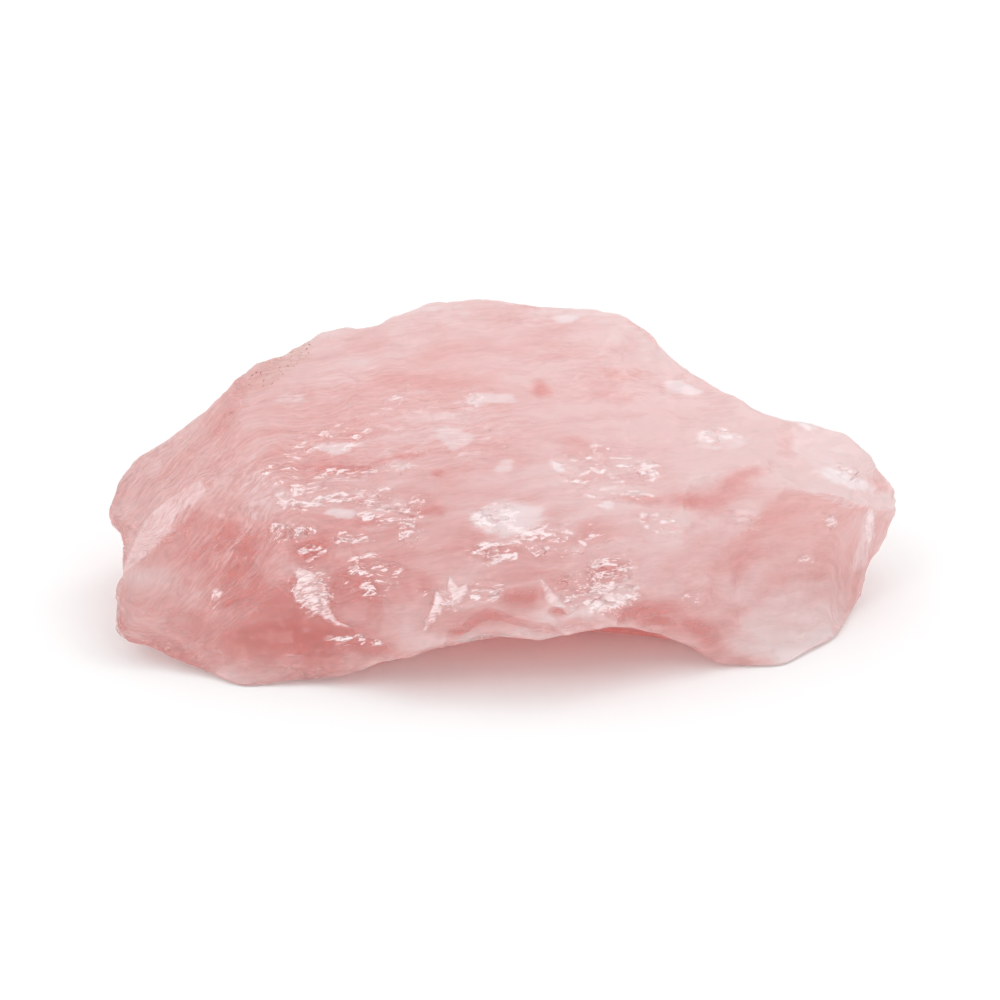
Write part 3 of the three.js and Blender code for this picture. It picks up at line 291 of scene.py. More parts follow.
# ---------------------------------------------------------------------------------------------------------------
# Noise
# ---------------------------------------------------------------------------------------------------------------
def mix_bits(x, y, z, seed):
    h = (x.astype(np.int64) * 374761393 + y.astype(np.int64) * 668265263 + z.astype(np.int64) * 2147483647
         + seed * 1274126177) & 0xFFFFFFFF
    h = ((h ^ (h >> 13)) * 1274126177) & 0xFFFFFFFF
    h = ((h ^ (h >> 16)) * 2246822519) & 0xFFFFFFFF
    return h ^ (h >> 15)


def unit(h):
    return (h & 0xFFFFFF) / float(0x1000000)


def noise(p, seed=0):
    """Gradient noise, about -1 to 1."""
    base = np.floor(p).astype(np.int64)
    f = p - base
    u = f * f * f * (f * (f * 6 - 15) + 10)
    total = np.zeros(len(p))
    for dx in (0, 1):
        for dy in (0, 1):
            for dz in (0, 1):
                h = mix_bits(base[:, 0] + dx, base[:, 1] + dy, base[:, 2] + dz, seed)
                dot = ((f[:, 0] - dx) * ((h & 1023) / 511.5 - 1) + (f[:, 1] - dy) * ((h >> 10 & 1023) / 511.5 - 1)
                       + (f[:, 2] - dz) * ((h >> 20 & 1023) / 511.5 - 1))
                wx = u[:, 0] if dx else 1 - u[:, 0]
                wy = u[:, 1] if dy else 1 - u[:, 1]
                wz = u[:, 2] if dz else 1 - u[:, 2]
                total += dot * wx * wy * wz
    return total * 1.6


def fbm(p, octaves, seed=0, gain=0.5, lac=2.03):
    total, amp, norm = np.zeros(len(p)), 1.0, 0.0
    for k in range(octaves):
        total += amp * noise(p * lac ** k + 17.3 * k, seed + 31 * k)
        norm += amp
        amp *= gain
    return total / norm


def cells(p, seed=0):
    """The nearest and second nearest cell point: both distances, the way from the nearest, and its random numbers."""
    base = np.floor(p).astype(np.int64)
    n = len(p)
    d1, d2 = np.full(n, 9e9), np.full(n, 9e9)
    way = np.zeros((n, 3))
    rnd = np.zeros((n, 3))
    for dx in (-1, 0, 1):
        for dy in (-1, 0, 1):
            for dz in (-1, 0, 1):
                cx, cy, cz = base[:, 0] + dx, base[:, 1] + dy, base[:, 2] + dz
                h1, h2, h3 = (mix_bits(cx, cy, cz, seed + 101 * k) for k in (1, 2, 3))
                q = np.stack([cx + unit(h1), cy + unit(h2), cz + unit(h3)], 1)
                w = p - q
                d = (w * w).sum(1)
                near = d < d1
                d2 = np.where(near, d1, np.minimum(d2, d))
                d1 = np.where(near, d, d1)
                way[near] = w[near]
                rnd[near] = np.stack([unit(h1 >> 5), unit(h2 >> 5), unit(h3 >> 5)], 1)[near]
    return np.sqrt(d1), np.sqrt(d2), way, rnd


def ramp(x, lo, hi):
    t = np.clip((x - lo) / (hi - lo), 0, 1)
    return t * t * (3 - 2 * t)


# ---------------------------------------------------------------------------------------------------------------
# Where things are on the seen side: points of a 1000 x 1000 picture seen from the front, 24 degrees up
# ---------------------------------------------------------------------------------------------------------------
ELEVATION = math.radians(24.0)
DISTANCE = 529.0
LENS, SENSOR = 100.0, 36.0
TARGET = np.array([-0.7 - CENTRE_X, -CENTRE_Y, 20.8])
TO_CAMERA = np.array([0.0, -math.cos(ELEVATION), math.sin(ELEVATION)])
EYE = TARGET + TO_CAMERA * DISTANCE
RIGHT = np.array([1.0, 0.0, 0.0])
UP = np.cross(RIGHT, -TO_CAMERA)


def picture(points):
    d = points - EYE
    depth = -(d @ TO_CAMERA)
    k = 1000 * LENS / SENSOR
    return 500 + k * (d @ RIGHT) / depth, 500 - k * (d @ UP) / depth


def blob(u, v, cx, cy, rx, ry, turn=0.0, core=0.55, rim=1.25):
    """1 in the middle of an ellipse, 0 outside it. turn is anticlockwise as seen, in degrees."""
    a = math.radians(turn)
    x, y = u - cx, -(v - cy)
    s = (x * math.cos(a) + y * math.sin(a)) / rx
    t = (-x * math.sin(a) + y * math.cos(a)) / ry
    return 1 - ramp(np.sqrt(s * s + t * t), core, rim)


def inside(u, v, corners):
    """1 inside a polygon."""
    c = np.array(corners, float)
    hit = np.zeros(len(u), bool)
    j = len(c) - 1
    for i in range(len(c)):
        cross = ((c[i, 1] > v) != (c[j, 1] > v)) & (
            u < (c[j, 0] - c[i, 0]) * (v - c[i, 1]) / (c[j, 1] - c[i, 1] + 1e-9) + c[i, 0])
        hit ^= cross
        j = i
    return hit.astype(float)


MILK = [  # white veils: cx, cy, rx, ry, turn, strength
    (333, 447, 19, 7, 0, 1.0), (292, 398, 16, 6, 15, 0.7), (570, 320, 13, 4.5, 0, 1.1), (450, 436, 24, 13, 0, 0.75),
    (488, 402, 34, 6, 4, 0.9), (502, 467, 17, 7, 0, 0.8), (509, 517, 44, 19, 0, 1.0), (606, 506, 9, 4.5, 0, 0.9),
    (559, 466, 5, 10, 40, 0.9), (258, 495, 16, 30, 0, 0.45), (722, 440, 34, 13, 0, 0.6), (640, 345, 40, 22, -30, 0.4),
    (846, 480, 34, 8, -18, 0.9), (820, 452, 40, 20, -20, 0.45), (866, 540, 9, 40, -15, 0.7), (806, 422, 18, 6, -10, 0.8),
    (340, 512, 18, 6, 0, 1.0), (375, 521, 22, 10, 0, 0.5), (385, 352, 60, 20, 35, 0.35), (330, 385, 70, 18, 20, 0.35),
    (430, 330, 60, 12, 25, 0.3), (250, 480, 12, 34, 0, 0.4), (530, 345, 90, 16, 5, 0.25), (682, 388, 24, 8, -10, 0.8),
    (215, 520, 50, 7, 55, 0.35), (232, 545, 40, 6, 55, 0.45), (700, 400, 60, 12, 0, 0.3), (455, 600, 14, 16, 0, 0.35),
    (470, 306, 60, 5, 5, 0.5), (340, 345, 30, 5, 35, 0.4), (175, 520, 40, 9, 45, 0.5), (205, 575, 40, 5, 58, 0.35),
    (430, 392, 50, 5, 5, 0.35), (350, 640, 24, 5, 0, 0.5), (290, 655, 30, 4, 0, 0.4), (835, 500, 40, 4, -18, 0.6),
    (560, 318, 90, 12, 3, 0.42), (480, 318, 60, 10, 2, 0.38),
]
DEEP = [  # clear, deeper-coloured places
    (541, 389, 13, 8, -25, 0.6), (437, 473, 6, 4, 0, 0.7), (430, 512, 18, 7, 0, 0.5), (700, 500, 36, 8, 0, 0.45),
    (742, 477, 30, 9, 20, 0.5), (640, 499, 40, 5, 0, 0.35), (735, 563, 22, 10, 20, 0.25), (522, 598, 30, 14, 20, 0.75),
    (655, 622, 20, 7, 0, 0.8), (558, 612, 12, 7, 0, 0.8), (280, 640, 100, 34, 0, 1.0), (190, 625, 80, 22, -25, 0.6),
    (345, 470, 40, 5, 8, 0.6), (390, 459, 34, 3, 5, 0.4), (168, 470, 50, 36, 30, 0.25), (222, 428, 18, 26, 30, 0.4),
    (310, 556, 18, 14, 0, 0.6), (590, 580, 34, 24, 30, 0.3), (300, 531, 60, 6, 0, 0.35), (205, 545, 60, 40, 50, 0.18),
    (420, 505, 24, 12, 0, 0.3), (360, 600, 50, 34, 0, 0.45), (415, 590, 40, 36, 0, 0.35), (480, 622, 70, 14, 0, 0.6),
    (878, 482, 9, 12, -40, 0.6), (340, 650, 80, 20, 0, 0.5), (255, 600, 70, 34, 0, 0.55), (300, 450, 60, 40, 20, 0.2),
    (440, 380, 60, 6, 0, 0.2), (620, 375, 30, 6, 0, 0.25), (575, 440, 24, 5, 0, 0.25), (170, 645, 50, 10, -20, 0.6),
    (785, 440, 16, 20, 0, 0.25), (643, 335, 20, 3, -40, 0.4), (240, 388, 6, 14, 20, 0.5), (610, 395, 60, 5, 0, 0.15),
    (480, 560, 120, 60, 0, 0.2), (470, 645, 60, 10, 15, 0.8), (560, 628, 50, 10, 10, 0.7),
    (640, 612, 50, 9, 5, 0.6), (700, 630, 30, 9, -35, 0.5), (240, 560, 60, 40, 40, 0.35), (400, 545, 150, 50, 0, 0.25),
]
GLINT = [  # where the break is hackly and sparkles
    (287, 533, 24, 11, 0, 1.0), (312, 552, 13, 9, 0, 0.9), (350, 538, 22, 10, 0, 0.8), (300, 497, 30, 12, 10, 0.7),
    (380, 510, 24, 16, 0, 0.9), (394, 404, 12, 6, 20, 0.9), (402, 470, 26, 7, 10, 0.8), (410, 518, 14, 30, 0, 0.9),
    (490, 553, 28, 13, 0, 1.0), (488, 590, 20, 14, 0, 0.9), (610, 585, 34, 30, 30, 1.15), (542, 552, 12, 9, 0, 0.9),
    (647, 470, 16, 11, -30, 0.9), (630, 494, 20, 4, 0, 0.9), (824, 519, 11, 8, 0, 0.9), (809, 559, 7, 6, 0, 0.9),
    (575, 590, 20, 22, 0, 0.8), (370, 575, 36, 26, 0, 0.5), (495, 515, 24, 14, 0, 0.8), (600, 470, 50, 34, 0, 0.4),
    (310, 590, 24, 30, 0, 0.6), (350, 643, 34, 8, 0, 0.6), (540, 532, 40, 8, 0, 0.6), (430, 430, 110, 50, 0, 0.25),
    (720, 435, 30, 8, 0, 0.4), (336, 478, 60, 8, 10, 0.75), (345, 497, 50, 7, 8, 0.8), (846, 472, 16, 9, -30, 0.6), (470, 402, 14, 5, 0, 0.9), (660, 520, 30, 14, -20, 0.5),
    (440, 600, 14, 26, 60, 0.5), (330, 440, 60, 20, 10, 0.35), (280, 470, 30, 20, 30, 0.4), (740, 520, 40, 20, 0, 0.25),
    (215, 600, 10, 20, 0, 0.35), (690, 600, 14, 14, 0, 0.4), (560, 540, 60, 20, 0, 0.45),
]
TAN = [(278, 365, 44, 13, 33, 1.0), (262, 380, 20, 8, 10, 0.7), (305, 356, 12, 8, 0, 0.6)]  # a weathered place
WISPY = [(180, 470, 100, 70, 30, 1.0), (300, 455, 120, 45, 10, 1.0), (440, 430, 90, 40, 0, 0.8),
         (235, 560, 80, 60, 45, 0.9), (610, 375, 110, 26, -8, 0.5), (350, 395, 90, 30, 20, 0.5)]  # where they show
# the streaks run nearly level, rising 7 degrees to the right; on the left slopes and the right end they run steeply
LEVEL, STEEP, UPRIGHT = 7.0, 50.0, 80.0
STEEP_AT = [(180, 470, 110, 90, 30, 1.0), (200, 570, 110, 60, 40, 1.0)]
UPRIGHT_AT = [(866, 560, 34, 80, -10, 1.0), (880, 500, 30, 40, 0, 0.7)]
# thin white flakes, and two painted white glints (the ones at 637, 470 and 826, 520): corners as seen, how far each
# stands out (mm), how white it is
FLAKES_AND_PAINTED_GLINTS = [
    ([(498, 520), (506, 527), (518, 533), (530, 536), (543, 532), (549, 523), (541, 528), (530, 531), (519, 529),
      (507, 523)], 0.12, 0.9),
    ([(201, 480), (188, 486), (167, 500), (151, 513), (144, 523), (135, 541), (126, 562), (120, 578), (129, 569),
      (147, 555), (159, 543), (170, 531), (175, 516), (184, 509), (196, 502), (206, 492)], 0.3, 0.4),
    ([(299, 567), (305, 570), (316, 576), (322, 584), (329, 592), (327, 604), (335, 620), (351, 628), (333, 624),
      (320, 615), (308, 609), (296, 602), (293, 592), (298, 582), (295, 572)], 0.75, 0.72),
    ([(450, 577), (447, 588), (453, 597), (450, 608), (460, 602), (469, 590), (466, 584), (458, 588)], 0.55, 0.65),
    ([(437, 591), (444, 600), (441, 612), (434, 622), (423, 632), (426, 620), (433, 606)], 0.5, 0.7),
    ([(637, 470), (641, 463), (648, 461), (660, 466), (654, 468), (658, 478), (652, 480), (646, 470), (640, 473)], 0.3, 1.0),
    ([(826, 520), (832, 516), (838, 525), (828, 527)], 0.3, 0.9),
    ([(868, 508), (873, 510), (874, 522), (871, 540), (867, 545), (866, 525)], 0.2, 0.7),
    ([(541, 580), (548, 584), (553, 594), (563, 604), (566, 609), (554, 606), (545, 598)], 0.3, 0.55),
]


def regions(points, faces):
    """The listed part of every mark: the seen side by picture, the unseen side by noise alone."""
    u, v = picture(points)
    n = averaged(normals_of(points, faces), faces, 30)
    length = np.linalg.norm(n, axis=1)
    n = n / np.maximum(length, 1e-9)[:, None]
    seen = ramp(n @ TO_CAMERA, -0.08, 0.12)
    wu = u + 8 * noise(points / 6.5, 5) + 4 * noise(points / 2.4, 6)
    wv = v + 5 * noise(points / 6.5, 7) + 2.5 * noise(points / 2.4, 8)

    def painted(table, core=0.55, rim=1.25):
        out = np.zeros(len(points))
        for cx, cy, rx, ry, turn, strength in table:
            out = np.maximum(out, strength * blob(wu, wv, cx, cy, rx, ry, turn, core, rim))
        return out

    big = fbm(points / 20.0, 3, 40)
    marks = {
        "milk": seen * painted(MILK) + (1 - seen) * ramp(big, 0.05, 0.55),
        "glint": seen * painted(GLINT) + (1 - seen) * ramp(fbm(points / 13.0, 2, 44), 0.1, 0.5),
        "wispy": seen * painted(WISPY, 0.3, 1.4) + (1 - seen) * ramp(fbm(points / 15.0, 2, 49), -0.1, 0.3),
        "tan": seen * painted(TAN) + (1 - seen) * 0.7 * ramp(fbm(points / 17.0, 3, 47), 0.33, 0.5),
    }
    deep = seen * painted(DEEP, 0.15, 1.5) + (1 - seen) * ramp(-big, 0.0, 0.5)
    # the white of the flakes, with two painted white glints among them
    flake_and_painted_glint = np.zeros(len(points))
    for corners, _, white in FLAKES_AND_PAINTED_GLINTS:
        flake_and_painted_glint = np.maximum(flake_and_painted_glint, white * inside(u, v, corners))
    marks["flake_and_painted_glint"] = flake_and_painted_glint * (seen > 0.5)
    marks["upright"] = seen * painted(UPRIGHT_AT) + (1 - seen) * ramp(points[:, 0], 52, 68)
    marks["steep"] = (seen * painted(STEEP_AT) + (1 - seen) * ramp(-points[:, 0], 30, 55)) * (1 - marks["upright"])
    # how pale: 0 is clear coral, 1 is white. Faces turned up are paler, partly frosted veils and partly painted light
    # from above; the right end and the bruised ridges are paler too
    g = grain_of(points, marks)
    tone_with_painted_top_light = 0.39 + 0.49 * ramp(n[:, 2], 0.15, 0.85) + 0.0034 * points[:, 0] + 0.07 * fbm(points / 11.0, 3, 50)
    tone_with_painted_top_light += 0.22 * fbm(g / np.array([21.0, 4.4, 9.0]), 2, 53) + 0.14 * fbm(g / np.array([9.0, 1.9, 4.0]), 1, 56)
    tone_with_painted_top_light += 0.06 * (1 - ramp(np.linalg.norm(averaged(normals_of(points, faces), faces, 7), axis=1), 0.86, 0.97))
    tone_with_painted_top_light += (0.02 - tone_with_painted_top_light) * np.clip(deep, 0, 1)
    marks["tone_with_painted_top_light"] = tone_with_painted_top_light
    return marks, seen, g, length


def grain_of(points, marks):
    """Coordinates that follow the streaks: along them, across them, and through the stone. They bend round two places."""
    x, h, t = points[:, 0], points @ UP, points @ TO_CAMERA

    def turned(degrees, x0, h0):
        a = np.radians(degrees)
        return np.stack([(x - x0) * np.cos(a) + (h - h0) * np.sin(a), (x0 - x) * np.sin(a) + (h - h0) * np.cos(a)], 1)

    flat = turned(LEVEL, 0.0, 0.0)
    for mark, degrees, x0, h0 in (("steep", STEEP, -46.0, 24.0), ("upright", UPRIGHT, 64.0, 15.0)):
        flat = flat + turned(LEVEL + (degrees - LEVEL) * marks[mark], x0, h0) - turned(LEVEL, x0, h0)
    flat[:, 0] += 1.6 * noise(points / 8.0, 20)
    flat[:, 1] += 0.9 * noise(points / 7.0, 21) + 0.32 * noise(points / 2.3, 22)
    return np.concatenate([flat, t[:, None]], 1)


# ---------------------------------------------------------------------------------------------------------------
# The relief
# ---------------------------------------------------------------------------------------------------------------
SCOOPS = [  # as seen: u, v, radius of the shell (mm), depth (mm)
    (575, 455, 11, 0.9), (522, 600, 13, 1.4), (556, 588, 7, 1.0), (610, 582, 12, 1.1), (312, 555, 8, 1.2),
    (350, 600, 16, 1.0), (405, 590, 18, 1.2), (470, 545, 14, 1.0), (760, 575, 40, 1.3), (720, 505, 22, 0.8),
    (800, 472, 18, 0.6), (640, 620, 9, 0.9), (565, 615, 8, 0.9), (300, 520, 20, 0.9), (365, 530, 12, 0.8),
    (540, 388, 9, 0.7), (345, 470, 16, 0.7), (420, 505, 11, 0.9), (215, 600, 34, 0.9), (260, 640, 26, 1.0),
    (170, 470, 24, 0.9), (215, 430, 20, 0.8), (640, 350, 22, 0.8), (700, 405, 30, 0.8), (655, 520, 16, 0.8),
    (300, 365, 14, 0.5), (395, 655, 12, 0.8), (240, 670, 10, 0.7),
    (500, 520, 24, 0.8), (690, 600, 12, 0.6), (590, 540, 11, 0.9),
]


def stone(steps):
    p, faces = form(steps)
    n = normals_of(p, faces)
    marks, seen, g, length = regions(p, faces)
    lift = ramp(p[:, 2], 0.15, 2.5)  # the break that it rests on stays flat
    calm = 0.25 + 0.75 * ramp(averaged(length, faces, 8), 0.80, 0.97)  # sharp ridges stay thin

    # ridges and rims wander
    wander = np.stack([fbm(p / 9.0, 3, 60 + k) for k in range(3)], 1) * 0.45
    wander += np.stack([fbm(p / 2.4, 2, 70 + k) for k in range(3)], 1) * 0.20
    wander[:, 0] += 0.8 * ramp(p[:, 0], 60, 72) * ramp(p[:, 2], 6, 14) * (1 - ramp(p[:, 2], 26, 36))
    wander[:, 0] -= 0.9 * ramp(-p[:, 0], 60, 72) * (1 - ramp(p[:, 2], 12, 20))
    p = p + wander * lift[:, None]
    n = normals_of(p, faces)

    # shell-shaped scoops: listed one by one on the seen side, scattered elsewhere
    u, v = picture(p)
    facing = n @ TO_CAMERA > 0.05
    rng = np.random.default_rng(7)
    places = []
    for su, sv, radius, depth in SCOOPS:
        d = (u - su) ** 2 + (v - sv) ** 2 + np.where(facing, 0, 1e9)
        k = int(np.argmin(d))
        places.append((k, radius, depth))
    hidden = np.where((seen < 0.02) & (p[:, 2] > 3))[0]
    for k in rng.choice(hidden, 46, replace=False):
        places.append((int(k), float(rng.uniform(8, 34)), float(rng.uniform(0.5, 1.5))))
    for k, radius, depth in places:
        near = np.where(((p - p[k]) ** 2).sum(1) < (1.3 * radius) ** 2)[0]
        axis = n[near[((p[near] - p[k]) ** 2).sum(1) < 9]].mean(0)
        axis = axis / np.linalg.norm(axis)
        centre = p[k] + axis * (radius - depth) + rng.normal(size=3) * 0.15 * depth
        q = p[near] - centre
        h = q @ axis
        flat = (q * q).sum(1) - h * h
        off = np.linalg.norm(q - q[0], axis=1)  # faint ripples round a point at the side
        r = radius * (1 + 0.02 * noise(p[near] / 4.0, 80)) + 0.02 * np.sin(off * 2.1 + 2 * noise(p[near] / 3.0, 81))
        bottom = -np.sqrt(np.maximum(r * r - flat, 0))
        carve = np.where((flat < r * r) & (h > bottom), h - bottom, 0)
        carve = np.minimum(carve, depth * 1.3) * lift[near]
        p[near] -= carve[:, None] * axis
    n = normals_of(p, faces)

    glint = marks["glint"]
    smooth_face = seen * np.maximum(blob(u, v, 765, 570, 75, 75), 0.8 * blob(u, v, 210, 635, 80, 26, -20))
    rough = (1 - 0.75 * smooth_face)

    # ledges along the grain: the surface goes down in small steps with crisp lips
    field = g[:, 1] / 2.6 + 0.9 * fbm(g / np.array([26.0, 6.0, 9.0]), 3, 90)
    step = field - np.floor(field)
    ledge = ramp(step, 0.0, 0.74) - ramp(step, 0.74, 1.0) - 0.5
    where = ramp(fbm(p / 11.0, 2, 93), -0.1, 0.35)
    relief = 0.15 * ledge * where * rough
    # striations
    relief += rough * (0.07 * fbm(g / np.array([9.0, 1.3, 2.8]), 1, 96) + 0.16 * fbm(g / np.array([14.0, 3.0, 5.0]), 2, 99))
    # broad unevenness
    relief += 0.35 * fbm(p / 14.0, 2, 102) + 0.14 * rough * fbm(p / 5.0, 2, 105)
    # hackly facets, each tilted its own way
    for size, amount, seed in ((4.2, 0.30, 110), (2.0, 0.20, 113)):
        stretch = np.array([1.7, 1.0, 1.0]) * size
        d1, d2, way, rnd = cells(g / stretch + 0.25 * np.stack([noise(p / size, seed + k) for k in range(3)], 1), seed)
        tilt = (way * (rnd * 2 - 1)).sum(1) * 1.5 + (rnd[:, 0] - 0.5) * 0.35
        relief += amount * tilt * (0.16 * rough + 1.1 * np.clip(glint, 0, 1.1))
    # thin flakes and the painted glint patches stand out a little, tilted
    for corners, out, _ in FLAKES_AND_PAINTED_GLINTS:
        c = np.array(corners, float).mean(0)
        mask = averaged(inside(u, v, corners) * (seen > 0.5), faces, 1)
        relief += mask * (out + 0.25 * out * ((u - c[0]) - (v - c[1])) / 20.0)
    # grain of the break
    relief += 0.012 * rough * noise(p / 1.3, 120)
    p = p + n * (relief * lift * calm)[:, None]
    p[:, 2] = np.maximum(p[:, 2], 0.0)
    return p, faces


points, faces = stone(5)
low, high = (np.array(c) * 1000 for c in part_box("rose_quartz_chunk"))

mesh = bpy.data.meshes.new("rose_quartz")
mesh.vertices.add(len(points))
mesh.vertices.foreach_set("co", (points / 1000).astype(np.float32).ravel())
mesh.loops.add(faces.size)
mesh.loops.foreach_set("vertex_index", faces.astype(np.int32).ravel())
mesh.polygons.add(len(faces))
mesh.polygons.foreach_set("loop_start", np.arange(0, faces.size, 3, dtype=np.int32))
mesh.update(calc_edges=True)
mesh.validate()
chunk = bpy.data.objects.new("rose_quartz", mesh)
bpy.context.scene.collection.objects.link(chunk)

TRIANGLES = 190000
if len(mesh.polygons) > TRIANGLES:
    thin = chunk.modifiers.new("thin", "DECIMATE")
    thin.decimate_type = "COLLAPSE"
    thin.ratio = TRIANGLES / len(mesh.polygons)
    bpy.context.view_layer.update()
    done = bpy.data.meshes.new_from_object(chunk.evaluated_get(bpy.context.evaluated_depsgraph_get()))
    chunk.modifiers.clear()
    old, chunk.data = chunk.data, done
    bpy.data.meshes.remove(old)
    done.name = "rose_quartz"
mesh = chunk.data

count = len(mesh.vertices)
co = np.empty(count * 3, np.float32)
mesh.vertices.foreach_get("co", co)
co = co.reshape(-1, 3).astype(float) * 1000
tris = np.empty(len(mesh.polygons) * 3, np.int32)
mesh.polygons.foreach_get("vertices", tris)
tris = tris.reshape(-1, 3)
marks, seen, g, length = regions(co, tris)
for name, values in marks.items():
    layer = mesh.attributes.new(name, "FLOAT", "POINT")
    layer.data.foreach_set("value", np.clip(values, 0, 1.5).astype(np.float32))
layer = mesh.attributes.new("grain", "FLOAT_VECTOR", "POINT")
layer.data.foreach_set("vector", g.astype(np.float32).ravel())
mesh.polygons.foreach_set("use_smooth", np.ones(len(mesh.polygons), bool))
mesh.set_sharp_from_angle(angle=math.radians(26))
mesh.update()


# ---------------------------------------------------------------------------------------------------------------
# The material
# ---------------------------------------------------------------------------------------------------------------
class Graph:
    """A short way to write a node tree."""

    def __init__(self, material):
        self.tree = material.node_tree
        self.tree.nodes.clear()

    def node(self, kind, **settings):
        node = self.tree.nodes.new(kind)
        for key, value in settings.items():
            setattr(node, key, value)
        return node

    def put(self, socket, value):
        if isinstance(value, bpy.types.NodeSocket):
            self.tree.links.new(value, socket)
        else:
            socket.default_value = value

    def math(self, op, a, b=0.0, c=0.0, clamp=False):
        node = self.node("ShaderNodeMath", operation=op, use_clamp=clamp)
        for socket, value in zip(node.inputs, (a, b, c)):
            self.put(socket, value)
        return node.outputs[0]

    def attribute(self, name, output="Fac"):
        return self.node("ShaderNodeAttribute", attribute_name=name).outputs[output]

    def noise(self, vector, scale, detail=3.0, rough=0.5, distortion=0.0):
        node = self.node("ShaderNodeTexNoise", noise_dimensions="3D")
        self.put(node.inputs["Vector"], vector)
        node.inputs["Scale"].default_value = scale
        node.inputs["Detail"].default_value = detail
        node.inputs["Roughness"].default_value = rough
        node.inputs["Distortion"].default_value = distortion
        return node.outputs["Fac"]

    def stretch(self, vector, x, y, z, shift=(0, 0, 0)):
        node = self.node("ShaderNodeMapping")
        self.put(node.inputs["Vector"], vector)
        node.inputs["Scale"].default_value = (x, y, z)
        node.inputs["Location"].default_value = shift
        return node.outputs[0]

    def curve(self, value, lo, hi, to_lo=0.0, to_hi=1.0, smooth=True):
        node = self.node("ShaderNodeMapRange", interpolation_type="SMOOTHSTEP" if smooth else "LINEAR")
        self.put(node.inputs["Value"], value)
        node.inputs["From Min"].default_value = lo
        node.inputs["From Max"].default_value = hi
        node.inputs["To Min"].default_value = to_lo
        node.inputs["To Max"].default_value = to_hi
        return node.outputs[0]

    def mix(self, amount, a, b):
        node = self.node("ShaderNodeMix", data_type="RGBA")
        self.put(node.inputs[0], amount)
        for socket, value in ((node.inputs[6], a), (node.inputs[7], b)):
            self.put(socket, value)
        return node.outputs[2]


def srgb(r, g, b):
    return tuple(((c / 255 + 0.055) / 1.055) ** 2.4 if c / 255 > 0.04045 else c / 255 / 12.92 for c in (r, g, b)) + (1.0,)


material = bpy.data.materials.new("rose_quartz")
material.use_nodes = True
G = Graph(material)
out = G.node("ShaderNodeOutputMaterial")
clear = G.node("ShaderNodeBsdfPrincipled")  # where one sees into the stone
veil_front = G.node("ShaderNodeBsdfPrincipled")  # where a cloudy veil lies at the surface
veil_back = G.node("ShaderNodeBsdfTranslucent")  # and light comes through it
veil_both = G.node("ShaderNodeMixShader")
G.tree.links.new(veil_front.outputs[0], veil_both.inputs[1])
G.tree.links.new(veil_back.outputs[0], veil_both.inputs[2])
painted_glint_and_flake_bsdf = G.node("ShaderNodeBsdfPrincipled")  # white flakes cracked off the break, and the painted white glints
surface = G.node("ShaderNodeMixShader")
G.tree.links.new(clear.outputs[0], surface.inputs[1])
G.tree.links.new(veil_both.outputs[0], surface.inputs[2])
over = G.node("ShaderNodeMixShader")
G.tree.links.new(surface.outputs[0], over.inputs[1])
G.tree.links.new(painted_glint_and_flake_bsdf.outputs[0], over.inputs[2])
G.tree.links.new(over.outputs[0], out.inputs["Surface"])

place = G.stretch(G.node("ShaderNodeTexCoord").outputs["Object"], 1000, 1000, 1000)  # millimetres
grain = G.attribute("grain", "Vector")
tone_with_painted_top_light, milk, glint, tan, flake_and_painted_glint, wispy = (G.attribute(name) for name in ("tone_with_painted_top_light", "milk", "glint", "tan", "flake_and_painted_glint", "wispy"))


def plus(*terms):
    total = terms[0]
    for term in terms[1:]:
        total = G.math("ADD", total, term)
    return total


def times(a, b):
    return G.math("MULTIPLY", a, b)


# fine hairs along the grain; the broader wisps are in the baked pale tone
hair = G.noise(G.stretch(grain, 0.26, 1.8, 0.8), 1.0, 3, 0.62)
pale = plus(tone_with_painted_top_light, times(G.curve(hair, 0.34, 0.66, -1.0, 1.0, smooth=False), plus(0.045, times(wispy, 0.10))))
# white veils have an irregular, fairly crisp edge and a streaky inside
edge = plus(milk, G.curve(hair, 0.3, 0.7, -0.30, 0.30, smooth=False))
veils = times(G.curve(edge, 0.25, 0.85), plus(0.30, times(milk, 0.40)))
pale = plus(pale, times(G.math("SUBTRACT", 0.92, pale), times(veils, 0.80)))
pale = G.math("ADD", pale, 0.0, clamp=True)

# painted glints: irregular white shards along the grain, crisp and in clusters, painted where the hackly break would
# flash
cell = G.node("ShaderNodeTexVoronoi", voronoi_dimensions="3D", feature="F1")
spread = G.node("ShaderNodeVectorMath", operation="MULTIPLY_ADD")
G.put(spread.inputs[0], hair)
spread.inputs[1].default_value = (3.0, 1.6, 2.0)
G.put(spread.inputs[2], grain)
G.put(cell.inputs["Vector"], G.stretch(spread.outputs[0], 0.42, 1.15, 0.7))
cell.inputs["Scale"].default_value = 1.0
cell.inputs["Randomness"].default_value = 1.0
rgb = G.node("ShaderNodeSeparateColor")
G.put(rgb.inputs[0], cell.outputs["Color"])
crumple = G.noise(G.stretch(spread.outputs[0], 0.62, 2.3, 1.5), 1.0, 1, 0.75)
painted_glint = G.curve(plus(rgb.outputs[0], times(glint, 0.42)), 0.98, 1.0)
painted_glint = times(painted_glint, G.curve(crumple, 0.42, 0.54, 0.08, 0.95))
painted_glint_fleck = times(G.curve(plus(crumple, times(glint, 0.10)), 0.70, 0.73), 0.9)
painted_glint = times(G.math("MAXIMUM", painted_glint, painted_glint_fleck), G.curve(glint, 0.15, 0.4))
# the painted white glints, and the white of the flakes
white = G.math("MAXIMUM", painted_glint, times(flake_and_painted_glint, G.curve(crumple, 0.36, 0.58, 0.25, 1.0)))

